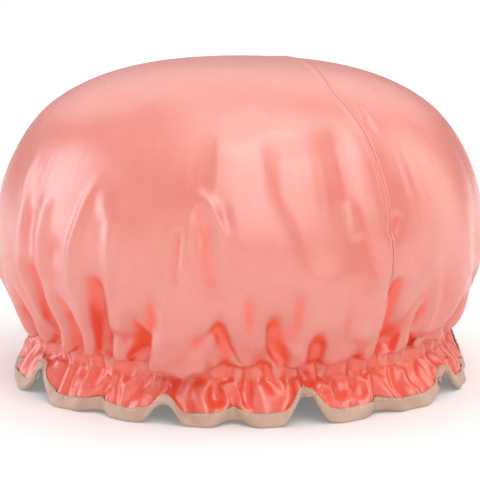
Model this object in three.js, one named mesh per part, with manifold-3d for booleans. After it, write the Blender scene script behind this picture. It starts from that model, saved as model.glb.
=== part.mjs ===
// A satin shower cap, opened and set down on its bound edge as if a head still filled it.
// Millimetres, +Z up. The origin is the middle of the mouth, on the surface that the cap stands on.
// The crown seam lies in a plane across Y: the main panels are on its -Y side, the side panels beyond.
import * as THREE from 'three';
import { mergeVertices } from 'three/addons/utils/BufferGeometryUtils.js';
import Module from 'manifold-3d';

// Dome: the full crown that rises from the widest part, and the side that draws in to the elastic.
const DOME_RADIUS = 140;
const WIDEST_HEIGHT = 86;
const CROWN_RISE = 100;
const CROWN_SQUARENESS = 2.6;
const SIDE_ROUNDNESS = 2.2;

// Elastic and the channel that two stitch rows make for it between the satin and the lining.
const CHANNEL_RADIUS = 121.5;
const CHANNEL_MIDDLE_HEIGHT = 27;
const ELASTIC_WIDTH = 6;
const ELASTIC_THICKNESS = 0.8;
const CHANNEL_EASE = 1;

// Ruffle below the channel, and the folded binding that closes its edge.
const RUFFLE_FLARE = 8;
const BINDING_WIDTH = 7.5;
const BINDING_THICKNESS = 0.5;

// Crown seam: where its plane crosses Y, and the thread that runs in it.
const SEAM_OFFSET = 46;
const SEAM_THREAD_WIDTH = 0.6;

// Folds: flutes along the ruffle, and the gathers that run up from the elastic into the side.
const FLUTE_COUNT = 18;
const FLUTE_DEPTH = 5.5;
const FLUTE_LIFT = 5;
const GATHER_DEPTH = 3;
const FLUTE_START = 3.15;
const FLUTE_WANDER = 1.3;
const WANDER_CYCLES = 3;
const WANDER_START = 1.05;
const STANDING_SHARE = 0.2;

// Cloth, threads and the gaps between them.
const SATIN_THICKNESS = 0.5;
const LINING_THICKNESS = 0.4;
const PLY_GAP = 0.4;
const FIT_GAP = 0.3;
const THREAD_RADIUS = 0.3;
const STITCH_MARGIN = 1.2;

// Facets: columns round the crown, and how many fine hem columns share one crown column.
const CROWN_COLUMNS = 32;
const HEM_COLUMNS_PER_CROWN_COLUMN = 3;
const CROWN_ROWS = 6;
const THREAD_RING_FACETS = 72;
const NORMAL_STEP = 1e-3;

// Sizes that follow from the ones above.
const HEM_COLUMNS = CROWN_COLUMNS * HEM_COLUMNS_PER_CROWN_COLUMN;
const CHANNEL_HEIGHT = ELASTIC_WIDTH + 2 * CHANNEL_EASE;
const CHANNEL_TOP = CHANNEL_MIDDLE_HEIGHT + CHANNEL_HEIGHT / 2;
const CHANNEL_BOTTOM = CHANNEL_MIDDLE_HEIGHT - CHANNEL_HEIGHT / 2;
const RAW_EDGE_HEIGHT = BINDING_THICKNESS + FIT_GAP;
const RUFFLE_DROP = CHANNEL_BOTTOM - RAW_EDGE_HEIGHT;
const SEAM_HALF_GAP = SEAM_THREAD_WIDTH / 2 + FIT_GAP;
const BEYOND_CAP = 2 * (DOME_RADIUS + WIDEST_HEIGHT + CROWN_RISE);

// Depths below the satin's outer face.
const SATIN_BACK = SATIN_THICKNESS;
const LINING_FACE = SATIN_BACK + PLY_GAP;
const CHANNEL_LINING_FACE = SATIN_BACK + ELASTIC_THICKNESS + 2 * FIT_GAP;
const BINDING_OUTER_BACK = -FIT_GAP;
const BINDING_OUTER_FACE = BINDING_OUTER_BACK - BINDING_THICKNESS;
const BINDING_INNER_FACE = LINING_FACE + LINING_THICKNESS + FIT_GAP;
const BINDING_INNER_BACK = BINDING_INNER_FACE + BINDING_THICKNESS;

// Stations down the cloth. Whole numbers part the crown, side, channel and ruffle.
const APEX = 0;
const WIDEST = 1;
const CHANNEL_START = 2;
const CHANNEL_END = 3;
const RAW_EDGE = 4;
const BINDING_TOP = RAW_EDGE - (BINDING_WIDTH - RAW_EDGE_HEIGHT) / RUFFLE_DROP;
const SIDE_STATIONS = [1.25, 1.52, 1.78];

const wasm = await Module();
wasm.setup();

const COLOURS = {
  satin: { color: 0xf2a091, roughness: 0.35, metalness: 0 },
  lining: { color: 0xf4e9e4, roughness: 0.3, metalness: 0 },
  elastic: { color: 0xf3efe8, roughness: 0.8, metalness: 0 },
  binding: { color: 0xd9bda3, roughness: 0.5, metalness: 0 },
  coralThread: { color: 0xe8846e, roughness: 0.6, metalness: 0 },
  beigeThread: { color: 0xe6d2bd, roughness: 0.6, metalness: 0 },
};

/** The cap's outline at a station down the cloth: distance from the axis, and height. */
function outline(station) {
  if (station <= WIDEST) {
    const turn = (station - APEX) * Math.PI / 2;
    const power = 2 / CROWN_SQUARENESS;
    return {
      radius: DOME_RADIUS * Math.max(0, Math.sin(turn)) ** power,
      height: WIDEST_HEIGHT + CROWN_RISE * Math.max(0, Math.cos(turn)) ** power,
    };
  }
  if (station <= CHANNEL_START) {
    const along = station - WIDEST;
    return {
      radius: DOME_RADIUS - (DOME_RADIUS - CHANNEL_RADIUS) * along ** SIDE_ROUNDNESS,
      height: WIDEST_HEIGHT - (WIDEST_HEIGHT - CHANNEL_TOP) * along,
    };
  }
  if (station <= CHANNEL_END) {
    const along = station - CHANNEL_START;
    return { radius: CHANNEL_RADIUS, height: CHANNEL_TOP - CHANNEL_HEIGHT * along };
  }
  const along = station - CHANNEL_END;
  return {
    radius: CHANNEL_RADIUS + RUFFLE_FLARE * Math.sin(along * Math.PI / 2),
    height: CHANNEL_BOTTOM - RUFFLE_DROP * along,
  };
}

/** How far a flute stands out at an angle: 1 on its crest, -1 in the hollow between two. */
function flute(angle) {
  const wander = FLUTE_WANDER * Math.sin(WANDER_CYCLES * angle + WANDER_START);
  return Math.sin(FLUTE_COUNT * angle + FLUTE_START + wander);
}

/** The depth of the folds at a station: none on the crown and along the channel. */
function foldDepth(station) {
  if (station > CHANNEL_END) {
    return FLUTE_DEPTH * (station - CHANNEL_END);
  }
  if (station > WIDEST && station < CHANNEL_START) {
    return GATHER_DEPTH * Math.sin(Math.PI * (station - WIDEST));
  }
  return 0;
}

/** The height of the edge at an angle: flat where crests stand, lifted in the hollows. */
function edgeLift(angle) {
  return FLUTE_LIFT * Math.max(0, STANDING_SHARE - flute(angle));
}

/** A point of the satin's outer face. */
function clothPoint(angle, station) {
  const { radius, height } = outline(station);
  const reach = radius + foldDepth(station) * flute(angle);
  const drop = Math.max(0, station - CHANNEL_END);
  const lift = edgeLift(angle) * drop * drop;
  return new THREE.Vector3(reach * Math.cos(angle), reach * Math.sin(angle), height + lift);
}

/** The outward direction of the cloth, square to its face; the channel stays a plain band. */
function clothNormal(angle, station) {
  if (station <= APEX) {
    return new THREE.Vector3(0, 0, 1);
  }
  if (station >= CHANNEL_START && station <= CHANNEL_END) {
    return new THREE.Vector3(Math.cos(angle), Math.sin(angle), 0);
  }
  const down = clothPoint(angle, Math.min(station + NORMAL_STEP, RAW_EDGE))
    .sub(clothPoint(angle, station - NORMAL_STEP));
  const round = clothPoint(angle + NORMAL_STEP, station)
    .sub(clothPoint(angle - NORMAL_STEP, station));
  return down.cross(round).normalize();
}

/** A point at a depth below the satin's outer face; a negative depth stands proud of it. */
function pointAtDepth(angle, station, depth) {
  return clothPoint(angle, station).addScaledVector(clothNormal(angle, station), -depth);
}

/** The depth of the lining's outer face, which makes room for the elastic in the channel. */
function liningFace(station) {
  const inChannel = station >= CHANNEL_START && station <= CHANNEL_END;
  return inChannel ? CHANNEL_LINING_FACE : LINING_FACE;
}

/** The depth of the satin's outer face. */
function satinFace() {
  return 0;
}

/** Rows of facets from the apex to the raw edge, each with its number of columns. */
function clothRows() {
  const rows = [{ station: APEX, columns: 1 }];
  for (let row = 1; row <= CROWN_ROWS; row += 1) {
    rows.push({ station: row / CROWN_ROWS, columns: CROWN_COLUMNS });
  }
  const [firstSide, ...lowerSides] = SIDE_STATIONS;
  rows.push({ station: firstSide, columns: CROWN_COLUMNS });
  for (const station of [...lowerSides, CHANNEL_START, CHANNEL_END, BINDING_TOP, RAW_EDGE]) {
    rows.push({ station, columns: HEM_COLUMNS });
  }
  return rows;
}

/** Triangles between two neighbouring rows, given the first vertex of each. */
function joinRows(upper, lower) {
  const triangles = [];
  const above = (column) => upper.first + column % upper.columns;
  const below = (column) => lower.first + column % lower.columns;
  if (upper.columns === 1) {
    for (let column = 0; column < lower.columns; column += 1) {
      triangles.push([upper.first, below(column), below(column + 1)]);
    }
    return triangles;
  }
  const ratio = lower.columns / upper.columns;
  const turn = Math.ceil(ratio / 2);
  for (let column = 0; column < upper.columns; column += 1) {
    const firstBelow = column * ratio;
    for (let step = 0; step < ratio; step += 1) {
      const corner = above(step < turn ? column : column + 1);
      triangles.push([corner, below(firstBelow + step), below(firstBelow + step + 1)]);
    }
    triangles.push([above(column), below(firstBelow + turn), above(column + 1)]);
  }
  return triangles;
}

/** A closed geometry from points and triangles of indices. */
function geometryOf(points, triangles) {
  const geometry = new THREE.BufferGeometry().setFromPoints(points);
  geometry.setIndex(triangles.flat());
  geometry.computeVertexNormals();
  return geometry;
}

/** Closes a face and its copy on the cloth's other side into one solid, walled at the border. */
function solidBetween(facePoints, backPoints, triangles) {
  const count = facePoints.length;
  const edges = new Set();
  for (const [a, b, c] of triangles) {
    edges.add(`${a},${b}`).add(`${b},${c}`).add(`${c},${a}`);
  }
  const all = [...triangles];
  for (const [a, b, c] of triangles) {
    all.push([c + count, b + count, a + count]);
  }
  for (const edge of edges) {
    const [from, to] = edge.split(',').map(Number);
    if (!edges.has(`${to},${from}`)) {
      all.push([to, from, from + count], [to, from + count, to + count]);
    }
  }
  return geometryOf([...facePoints, ...backPoints], all);
}

/** A point of a cloth layer; along the raw edge both faces are cut off level. */
function layerPoint(angle, station, depth) {
  const point = pointAtDepth(angle, station, depth);
  if (station === RAW_EDGE) {
    point.z = clothPoint(angle, station).z;
  }
  return point;
}

/** One whole cloth layer, from the apex to the raw edge of the ruffle. */
function layerGeometry(faceDepth, thickness) {
  const facePoints = [];
  const backPoints = [];
  const triangles = [];
  let previous = null;
  for (const { station, columns } of clothRows()) {
    const row = { columns, first: facePoints.length };
    const depth = faceDepth(station);
    for (let column = 0; column < columns; column += 1) {
      const angle = 2 * Math.PI * column / columns;
      facePoints.push(layerPoint(angle, station, depth));
      backPoints.push(layerPoint(angle, station, depth + thickness));
    }
    if (previous) {
      triangles.push(...joinRows(previous, row));
    }
    previous = row;
  }
  return solidBetween(facePoints, backPoints, triangles);
}

/** A geometry as a solid that can be cut. */
function toSolid(geometry) {
  const bare = geometry.clone();
  bare.deleteAttribute('normal');
  bare.deleteAttribute('uv');
  const merged = mergeVertices(bare);
  return new wasm.Manifold(new wasm.Mesh({
    numProp: 3,
    vertProperties: merged.attributes.position.array,
    triVerts: new Uint32Array(merged.index.array),
  }));
}

/** A cut solid as a geometry again. */
function toGeometry(solid) {
  const { vertProperties, triVerts } = solid.getMesh();
  const geometry = new THREE.BufferGeometry();
  geometry.setAttribute('position', new THREE.BufferAttribute(vertProperties, 3));
  geometry.setIndex([...triVerts]);
  geometry.computeVertexNormals();
  return geometry;
}

/** The part of a cloth layer that lies between two planes across Y. */
function sliceOf(layer, fromY, toY) {
  const slab = new THREE.BoxGeometry(BEYOND_CAP, toY - fromY, BEYOND_CAP);
  slab.translate(0, (fromY + toY) / 2, 0);
  return toGeometry(toSolid(layer).intersect(toSolid(slab)));
}

/** A cloth layer parted along the crown seam: main panel, side panel and the thread between. */
function partAtSeam(layer) {
  const halfThread = SEAM_THREAD_WIDTH / 2;
  return {
    main: sliceOf(layer, -BEYOND_CAP, SEAM_OFFSET - SEAM_HALF_GAP),
    side: sliceOf(layer, SEAM_OFFSET + SEAM_HALF_GAP, BEYOND_CAP),
    thread: sliceOf(layer, SEAM_OFFSET - halfThread, SEAM_OFFSET + halfThread),
  };
}

/** Splits a quad in two from its first corner, or from its second. */
function splitQuad([a, b, c, d], fromFirst) {
  return fromFirst ? [[a, b, c], [a, c, d]] : [[a, b, d], [b, c, d]];
}

/** A ring round the cap whose cross-section goes up outside and down inside the cap. */
function ringGeometry(sectionAt, facets) {
  const sections = [];
  for (let facet = 0; facet < facets; facet += 1) {
    sections.push(sectionAt(2 * Math.PI * facet / facets));
  }
  const size = sections[0].length;
  const triangles = [];
  for (let facet = 0; facet < facets; facet += 1) {
    const here = facet * size;
    const next = ((facet + 1) % facets) * size;
    for (let corner = 0; corner < size; corner += 1) {
      const following = (corner + 1) % size;
      const goesDown = sections[facet][corner].z > sections[facet][following].z;
      const quad = [here + corner, next + corner, next + following, here + following];
      triangles.push(...splitQuad(quad, goesDown));
    }
  }
  return geometryOf(sections.flat(), triangles);
}

/** A round ring of square section, such as the elastic or a stitch row along the channel. */
function plainRing(innerRadius, outerRadius, bottom, top) {
  const profile = [
    new THREE.Vector2(outerRadius, bottom),
    new THREE.Vector2(outerRadius, top),
    new THREE.Vector2(innerRadius, top),
    new THREE.Vector2(innerRadius, bottom),
    new THREE.Vector2(outerRadius, bottom),
  ];
  return new THREE.LatheGeometry(profile, THREAD_RING_FACETS).rotateX(Math.PI / 2);
}

/** The elastic band, lying loose between satin and lining in its channel. */
function elasticGeometry() {
  const outerRadius = CHANNEL_RADIUS - SATIN_BACK - FIT_GAP;
  return plainRing(
    outerRadius - ELASTIC_THICKNESS,
    outerRadius,
    CHANNEL_MIDDLE_HEIGHT - ELASTIC_WIDTH / 2,
    CHANNEL_MIDDLE_HEIGHT + ELASTIC_WIDTH / 2,
  );
}

/** One thread of a channel stitch row: the needle thread outside, the bobbin thread inside. */
function channelThread(height, outside) {
  const liningBack = CHANNEL_LINING_FACE + LINING_THICKNESS;
  const middle = outside
    ? CHANNEL_RADIUS + FIT_GAP + THREAD_RADIUS
    : CHANNEL_RADIUS - liningBack - FIT_GAP - THREAD_RADIUS;
  return plainRing(
    middle - THREAD_RADIUS,
    middle + THREAD_RADIUS,
    height - THREAD_RADIUS,
    height + THREAD_RADIUS,
  );
}

/** The binding's folded section at an angle: both legs, the fold inside and the flat below. */
function bindingSection(angle) {
  const bottom = edgeLift(angle);
  const foldTop = bottom + BINDING_THICKNESS;
  const at = (station, depth, height) => {
    const point = pointAtDepth(angle, station, depth);
    if (height !== undefined) {
      point.z = height;
    }
    return point;
  };
  return [
    at(RAW_EDGE, BINDING_OUTER_FACE, bottom),
    at(BINDING_TOP, BINDING_OUTER_FACE),
    at(BINDING_TOP, BINDING_OUTER_BACK),
    at(RAW_EDGE, BINDING_OUTER_BACK, foldTop),
    at(RAW_EDGE, BINDING_INNER_FACE, foldTop),
    at(BINDING_TOP, BINDING_INNER_FACE),
    at(BINDING_TOP, BINDING_INNER_BACK),
    at(RAW_EDGE, BINDING_INNER_BACK, bottom),
  ];
}

/** One thread of the binding's stitch row, a little below the top of one leg. */
function bindingThread(outside) {
  const depth = outside
    ? BINDING_OUTER_FACE - FIT_GAP - THREAD_RADIUS
    : BINDING_INNER_BACK + FIT_GAP + THREAD_RADIUS;
  const share = STITCH_MARGIN / BINDING_WIDTH;
  return (angle) => {
    const corners = [
      [BINDING_TOP, depth - THREAD_RADIUS],
      [RAW_EDGE, depth - THREAD_RADIUS],
      [RAW_EDGE, depth + THREAD_RADIUS],
      [BINDING_TOP, depth + THREAD_RADIUS],
    ].map(([station, itsDepth]) => pointAtDepth(angle, station, itsDepth));
    const [outerTop, outerEdge, innerEdge, innerTop] = corners;
    const length = outerTop.distanceTo(outerEdge);
    const half = THREAD_RADIUS / length;
    return [
      outerTop.clone().lerp(outerEdge, share + half),
      outerTop.clone().lerp(outerEdge, share - half),
      innerTop.clone().lerp(innerEdge, share - half),
      innerTop.clone().lerp(innerEdge, share + half),
    ];
  };
}

/** A named piece with its finish. */
function piece(name, geometry, finish) {
  const mesh = new THREE.Mesh(geometry, new THREE.MeshStandardMaterial(finish));
  mesh.name = name;
  return mesh;
}

/** The satin shell and its crown seam. */
function satinShell() {
  const shell = new THREE.Group();
  const { main, side, thread } = partAtSeam(layerGeometry(satinFace, SATIN_THICKNESS));
  shell.add(
    piece('outer_main_panel', main, COLOURS.satin),
    piece('outer_side_panel', side, COLOURS.satin),
    piece('crown_seam_thread', thread, COLOURS.coralThread),
  );
  return shell;
}

/** The waterproof lining and its own crown seam. */
function liningShell() {
  const shell = new THREE.Group();
  const { main, side, thread } = partAtSeam(layerGeometry(liningFace, LINING_THICKNESS));
  shell.add(
    piece('lining_main_panel', main, COLOURS.lining),
    piece('lining_side_panel', side, COLOURS.lining),
    piece('lining_seam_thread', thread, COLOURS.beigeThread),
  );
  return shell;
}

/** The elastic and the two stitch rows that close its channel. */
function channel() {
  const group = new THREE.Group();
  const upperRow = CHANNEL_TOP - THREAD_RADIUS;
  const lowerRow = CHANNEL_BOTTOM + THREAD_RADIUS;
  group.add(
    piece('elastic_band', elasticGeometry(), COLOURS.elastic),
    piece('channel_upper_needle_thread', channelThread(upperRow, true), COLOURS.coralThread),
    piece('channel_upper_bobbin_thread', channelThread(upperRow, false), COLOURS.coralThread),
    piece('channel_lower_needle_thread', channelThread(lowerRow, true), COLOURS.coralThread),
    piece('channel_lower_bobbin_thread', channelThread(lowerRow, false), COLOURS.coralThread),
  );
  return group;
}

/** The folded binding round the ruffle's edge, and its stitch row. */
function boundEdge() {
  const group = new THREE.Group();
  group.add(
    piece('edge_binding', ringGeometry(bindingSection, HEM_COLUMNS), COLOURS.binding),
    piece('binding_needle_thread', ringGeometry(bindingThread(true), HEM_COLUMNS), COLOURS.beigeThread),
    piece('binding_bobbin_thread', ringGeometry(bindingThread(false), HEM_COLUMNS), COLOURS.beigeThread),
  );
  return group;
}

const showerCap = new THREE.Group();
showerCap.name = 'shower_cap';
showerCap.add(satinShell(), liningShell(), channel(), boundEdge());

export default showerCap;
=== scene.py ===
"""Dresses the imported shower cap: draped satin, film lining, gathered hem, bound ruffle and stitching."""
import logging
import math
from collections.abc import Iterator
from contextlib import contextmanager
from dataclasses import dataclass, field
from enum import Enum

import bmesh
import bpy
import numpy as np
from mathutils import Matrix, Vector
from mathutils.bvhtree import BVHTree
from mathutils.kdtree import KDTree


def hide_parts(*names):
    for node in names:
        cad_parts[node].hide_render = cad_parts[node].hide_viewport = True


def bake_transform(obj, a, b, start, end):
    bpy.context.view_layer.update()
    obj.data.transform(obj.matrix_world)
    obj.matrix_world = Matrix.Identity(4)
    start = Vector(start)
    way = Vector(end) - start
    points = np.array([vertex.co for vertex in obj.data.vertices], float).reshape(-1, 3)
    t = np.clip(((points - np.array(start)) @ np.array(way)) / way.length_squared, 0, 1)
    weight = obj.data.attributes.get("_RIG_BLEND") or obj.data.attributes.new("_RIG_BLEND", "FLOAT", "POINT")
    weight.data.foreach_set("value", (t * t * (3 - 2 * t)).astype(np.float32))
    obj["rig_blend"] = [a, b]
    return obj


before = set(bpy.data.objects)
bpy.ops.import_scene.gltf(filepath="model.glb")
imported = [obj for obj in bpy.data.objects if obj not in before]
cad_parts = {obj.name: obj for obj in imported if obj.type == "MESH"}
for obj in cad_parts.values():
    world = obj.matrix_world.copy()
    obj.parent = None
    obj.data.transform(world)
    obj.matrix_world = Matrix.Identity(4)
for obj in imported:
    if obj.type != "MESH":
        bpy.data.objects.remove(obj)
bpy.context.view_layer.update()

LOG = logging.getLogger("shower_cap")
FULL_TURN = 2 * math.pi
# The front's angle round the cap, in degrees
FRONT_TURN = -14.5
# The flat coordinates that the woven materials follow
WEAVE = "weave"
WEAVE_PER_METRE = 10.0


def unit(values: np.ndarray) -> np.ndarray:
    """Keeps numbers between 0 and 1."""
    return np.clip(values, 0.0, 1.0)


def bell(values: np.ndarray) -> np.ndarray:
    """A soft hump, 1 at nought and fading on both sides."""
    return np.exp(-values ** 2)


def around(radius: np.ndarray, angle: np.ndarray, height: np.ndarray) -> np.ndarray:
    """Points from their distance from the axis, their angle round it and their height."""
    return np.stack([radius * np.cos(angle), radius * np.sin(angle), height], axis=-1)


def angle_apart(angle: np.ndarray, middle: float) -> np.ndarray:
    """Each angle's difference from another, the short way round."""
    return np.angle(np.exp(1j * (angle - middle)))


def running_length(points: np.ndarray) -> np.ndarray:
    """The length along a line of points, from nought at the first."""
    return np.concatenate([[0.0], np.cumsum(np.linalg.norm(np.diff(points, axis=0), axis=1))])


def ring_quads(rings: np.ndarray) -> list[tuple]:
    """Joins closed rings of point numbers with quads, ring by ring.

    Args:
        rings: the point numbers by ring and column.

    Returns:
        The quads.
    """
    quads = []
    for upper, lower in zip(rings, rings[1:]):
        for column in range(len(upper)):
            after = (column + 1) % len(upper)
            quads.append((upper[column], lower[column], lower[after], upper[after]))
    return quads


class Panel(Enum):
    """The two cuts that each ply is sewn from, by their material index on the whole cloth."""

    MAIN = 0
    SIDE = 1

    def called(self, pattern: str) -> str:
        """Puts the panel's name into a pattern."""
        return pattern.format(self.name.lower())


CUT_SIZES = {Panel.MAIN: (0.50, 0.44), Panel.SIDE: (0.44, 0.30)}


class Face(Enum):
    """The side of the cloth that a stitch row shows on."""

    OUTSIDE = 1
    INSIDE = -1


@dataclass(frozen=True)
class CapOutline:
    """The cap's outline when it is filled out, in metres."""

    dome_radius: float = 0.140
    widest_height: float = 0.086
    crown_rise: float = 0.100
    crown_squareness: float = 2.6
    side_roundness: float = 2.2
    hem_radius: float = 0.1215
    hem_height: float = 0.027
    raw_edge_height: float = 0.0008

    def profile(self) -> tuple[np.ndarray, np.ndarray, np.ndarray]:
        """Follows the outline from the apex to the middle of the elastic.

        Returns:
            The length along the outline, the distance from the axis and the height.
        """
        turn = np.linspace(0.0, math.pi / 2, 4001)
        power = 2 / self.crown_squareness
        crown_radius = self.dome_radius * np.sin(turn) ** power
        crown_height = self.widest_height + self.crown_rise * np.maximum(np.cos(turn), 0.0) ** power
        share = np.linspace(0.0, 1.0, 2001)[1:]
        drawn_in = self.dome_radius - self.hem_radius
        side_radius = self.dome_radius - drawn_in * share ** self.side_roundness
        side_height = self.widest_height - (self.widest_height - self.hem_height) * share
        radius = np.concatenate([crown_radius, side_radius])
        height = np.concatenate([crown_height, side_height])
        steps = np.hypot(np.diff(radius), np.diff(height))
        return np.concatenate([[0.0], np.cumsum(steps)]), radius, height

    def places(self, angle: np.ndarray, along: np.ndarray) -> np.ndarray:
        """Points on the filled-out cap, by their angle and their length from the apex."""
        length, radius, height = self.profile()
        return around(np.interp(along, length, radius), angle, np.interp(along, length, height))


@dataclass(frozen=True)
class Flutes:
    """The flutes that the ruffle stands in, as a closed curve for its raw edge."""

    outline: CapOutline
    count: int = 18
    start: float = 3.15
    wander: float = 1.3
    wander_cycles: int = 3
    wander_start: float = 1.05
    flare: float = 0.0075
    depth: float = 0.0045
    overhang: float = 0.016
    lift: float = 0.0105
    ripple: float = 0.0012
    ripple_rate: float = 2.6
    sharpness: float = 3.0
    unevenness: float = 0.22
    deep_loss: float = 0.6

    def phase(self, angle: np.ndarray) -> np.ndarray:
        """The flutes' running phase round the cap."""
        bend = self.wander * np.sin(self.wander_cycles * angle + self.wander_start)
        return self.count * angle + self.start + bend

    def edge(self, angle: np.ndarray) -> np.ndarray:
        """Places the raw edge: wide flutes stand on the table, and every other fold between them rises.

        Args:
            angle: angles round the cap, in radians.

        Returns:
            One point for each angle.
        """
        phase = self.phase(angle)
        deep = np.cos((phase + math.pi / 2) / 4 + math.pi / 2) ** 2
        fold = ((1 - np.sin(phase)) / 2) ** self.sharpness
        uneven = 1 + self.unevenness * np.sin(5 * angle + 2.0)
        ripple = self.ripple * np.sin(self.ripple_rate * phase + 1.5 * np.sin(2 * angle)) * (1 - fold)
        inward = 2 * fold * uneven * (1 - self.deep_loss * deep)
        radius = self.outline.hem_radius + self.flare + self.depth * (1 - inward) + ripple
        turned = angle - self.overhang * (0.5 + 0.7 * deep) * np.sin(2 * phase) * (0.35 + 0.65 * fold)
        rise = self.outline.raw_edge_height + self.lift * (0.2 + 1.2 * deep) * fold * uneven
        return around(radius, turned, rise)

    def length(self) -> float:
        """The length of the raw edge."""
        points = self.edge(np.linspace(0.0, FULL_TURN, 2881))
        return float(np.linalg.norm(np.diff(points, axis=0), axis=1).sum())


@dataclass
class ClothGrid:
    """The cloth as quads: a square patch over the crown, and rings from its border to the raw edge."""

    outline: CapOutline
    patch: int = 60
    patch_reach: float = 0.088
    patch_ease: float = 0.86
    side_rows: int = 50
    ruffle_rows: int = 8
    ruffle_drop: float = 0.0265
    seam_line: int = 14
    hem: float = field(init=False)
    faces: np.ndarray = field(init=False)
    panels: np.ndarray = field(init=False)
    angle: np.ndarray = field(init=False)
    along: np.ndarray = field(init=False)
    below: np.ndarray = field(init=False)
    rings: np.ndarray = field(init=False)
    seam: list = field(init=False)

    def __post_init__(self) -> None:
        """Lays the patch and the rings out, and joins them with quads."""
        length, _, _ = self.outline.profile()
        self.hem = float(length[-1])
        size = self.patch
        angle, along = self._lay_patch()
        grid = np.arange((size + 1) ** 2).reshape(size + 1, size + 1)
        border = [grid[j, size] for j in range(size)]
        border += [grid[size, i] for i in range(size, 0, -1)]
        border += [grid[j, 0] for j in range(size, 0, -1)]
        border += [grid[0, i] for i in range(size)]
        columns = 4 * size
        turns = -math.pi / 4 + FULL_TURN * np.arange(columns) / columns
        rings = [np.array(border)]
        below = np.zeros(len(angle))
        for row in range(1, self.side_rows + self.ruffle_rows + 1):
            rings.append(len(angle) + np.arange(columns))
            lower = max(0, row - self.side_rows) / self.ruffle_rows
            upper = min(row, self.side_rows) / self.side_rows
            reach = self.patch_reach + (self.hem - self.patch_reach) * upper
            angle = np.concatenate([angle, turns])
            along = np.concatenate([along, np.full(columns, reach)])
            below = np.concatenate([below, np.full(columns, lower)])
        self.angle, self.along, self.below = angle, along, below
        self.rings = np.array(rings)
        self._join(grid)

    def _lay_patch(self) -> tuple[np.ndarray, np.ndarray]:
        """Rounds a square grid off to a disc, straight in the middle and even in angle at its border.

        Returns:
            The angle round the axis and the length from the apex of each point.
        """
        steps = np.linspace(-1.0, 1.0, self.patch + 1)
        across, up = np.meshgrid(steps, steps)
        reach = np.maximum(np.abs(across), np.abs(up))
        safe_across = np.where(across == 0, 1.0, across)
        safe_up = np.where(up == 0, 1.0, up)
        sideways = np.abs(across) >= np.abs(up)
        turn_side = up / safe_across * math.pi / 4 + np.where(across > 0, 0.0, math.pi)
        turn_up = math.pi / 2 - across / safe_up * math.pi / 4 + np.where(up > 0, 0.0, math.pi)
        turn = np.where(sideways, turn_side, turn_up)
        share = reach ** 2
        x = (1 - share) * across * self.patch_ease + share * reach * np.cos(turn)
        y = (1 - share) * up * self.patch_ease + share * reach * np.sin(turn)
        return np.arctan2(y, x).ravel(), (np.hypot(x, y) * self.patch_reach).ravel()

    def _join(self, grid: np.ndarray) -> None:
        """Makes the quads, and parts them along the seam.

        Args:
            grid: the patch's points by row and column.
        """
        size = self.patch
        first = size // 2 + self.seam_line
        last = 3 * size - first
        faces = []
        panels = []
        for j in range(size):
            for i in range(size):
                faces.append((grid[j, i], grid[j, i + 1], grid[j + 1, i + 1], grid[j + 1, i]))
                panels.append(Panel.SIDE.value if j >= first else Panel.MAIN.value)
        columns = range(4 * size)
        ring = [Panel.SIDE.value if first <= column < last else Panel.MAIN.value for column in columns]
        self.faces = np.array(faces + ring_quads(self.rings))
        self.panels = np.array(panels + ring * (len(self.rings) - 1))
        far = [int(ring[last]) for ring in self.rings[::-1]]
        near = [int(ring[first]) for ring in self.rings]
        self.seam = far + [int(grid[first, i]) for i in range(1, size)] + near

    def distance_below_hem(self) -> np.ndarray:
        """Each point's distance below the middle of the elastic, along the cloth, in metres."""
        return self.along - self.hem + self.below * self.ruffle_drop

    def flat_points(self) -> np.ndarray:
        """Each point's place on the flat cloth, in metres from the apex."""
        reach = self.along + self.below * self.ruffle_drop
        return np.stack([reach * np.cos(self.angle), reach * np.sin(self.angle)], axis=-1)


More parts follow.
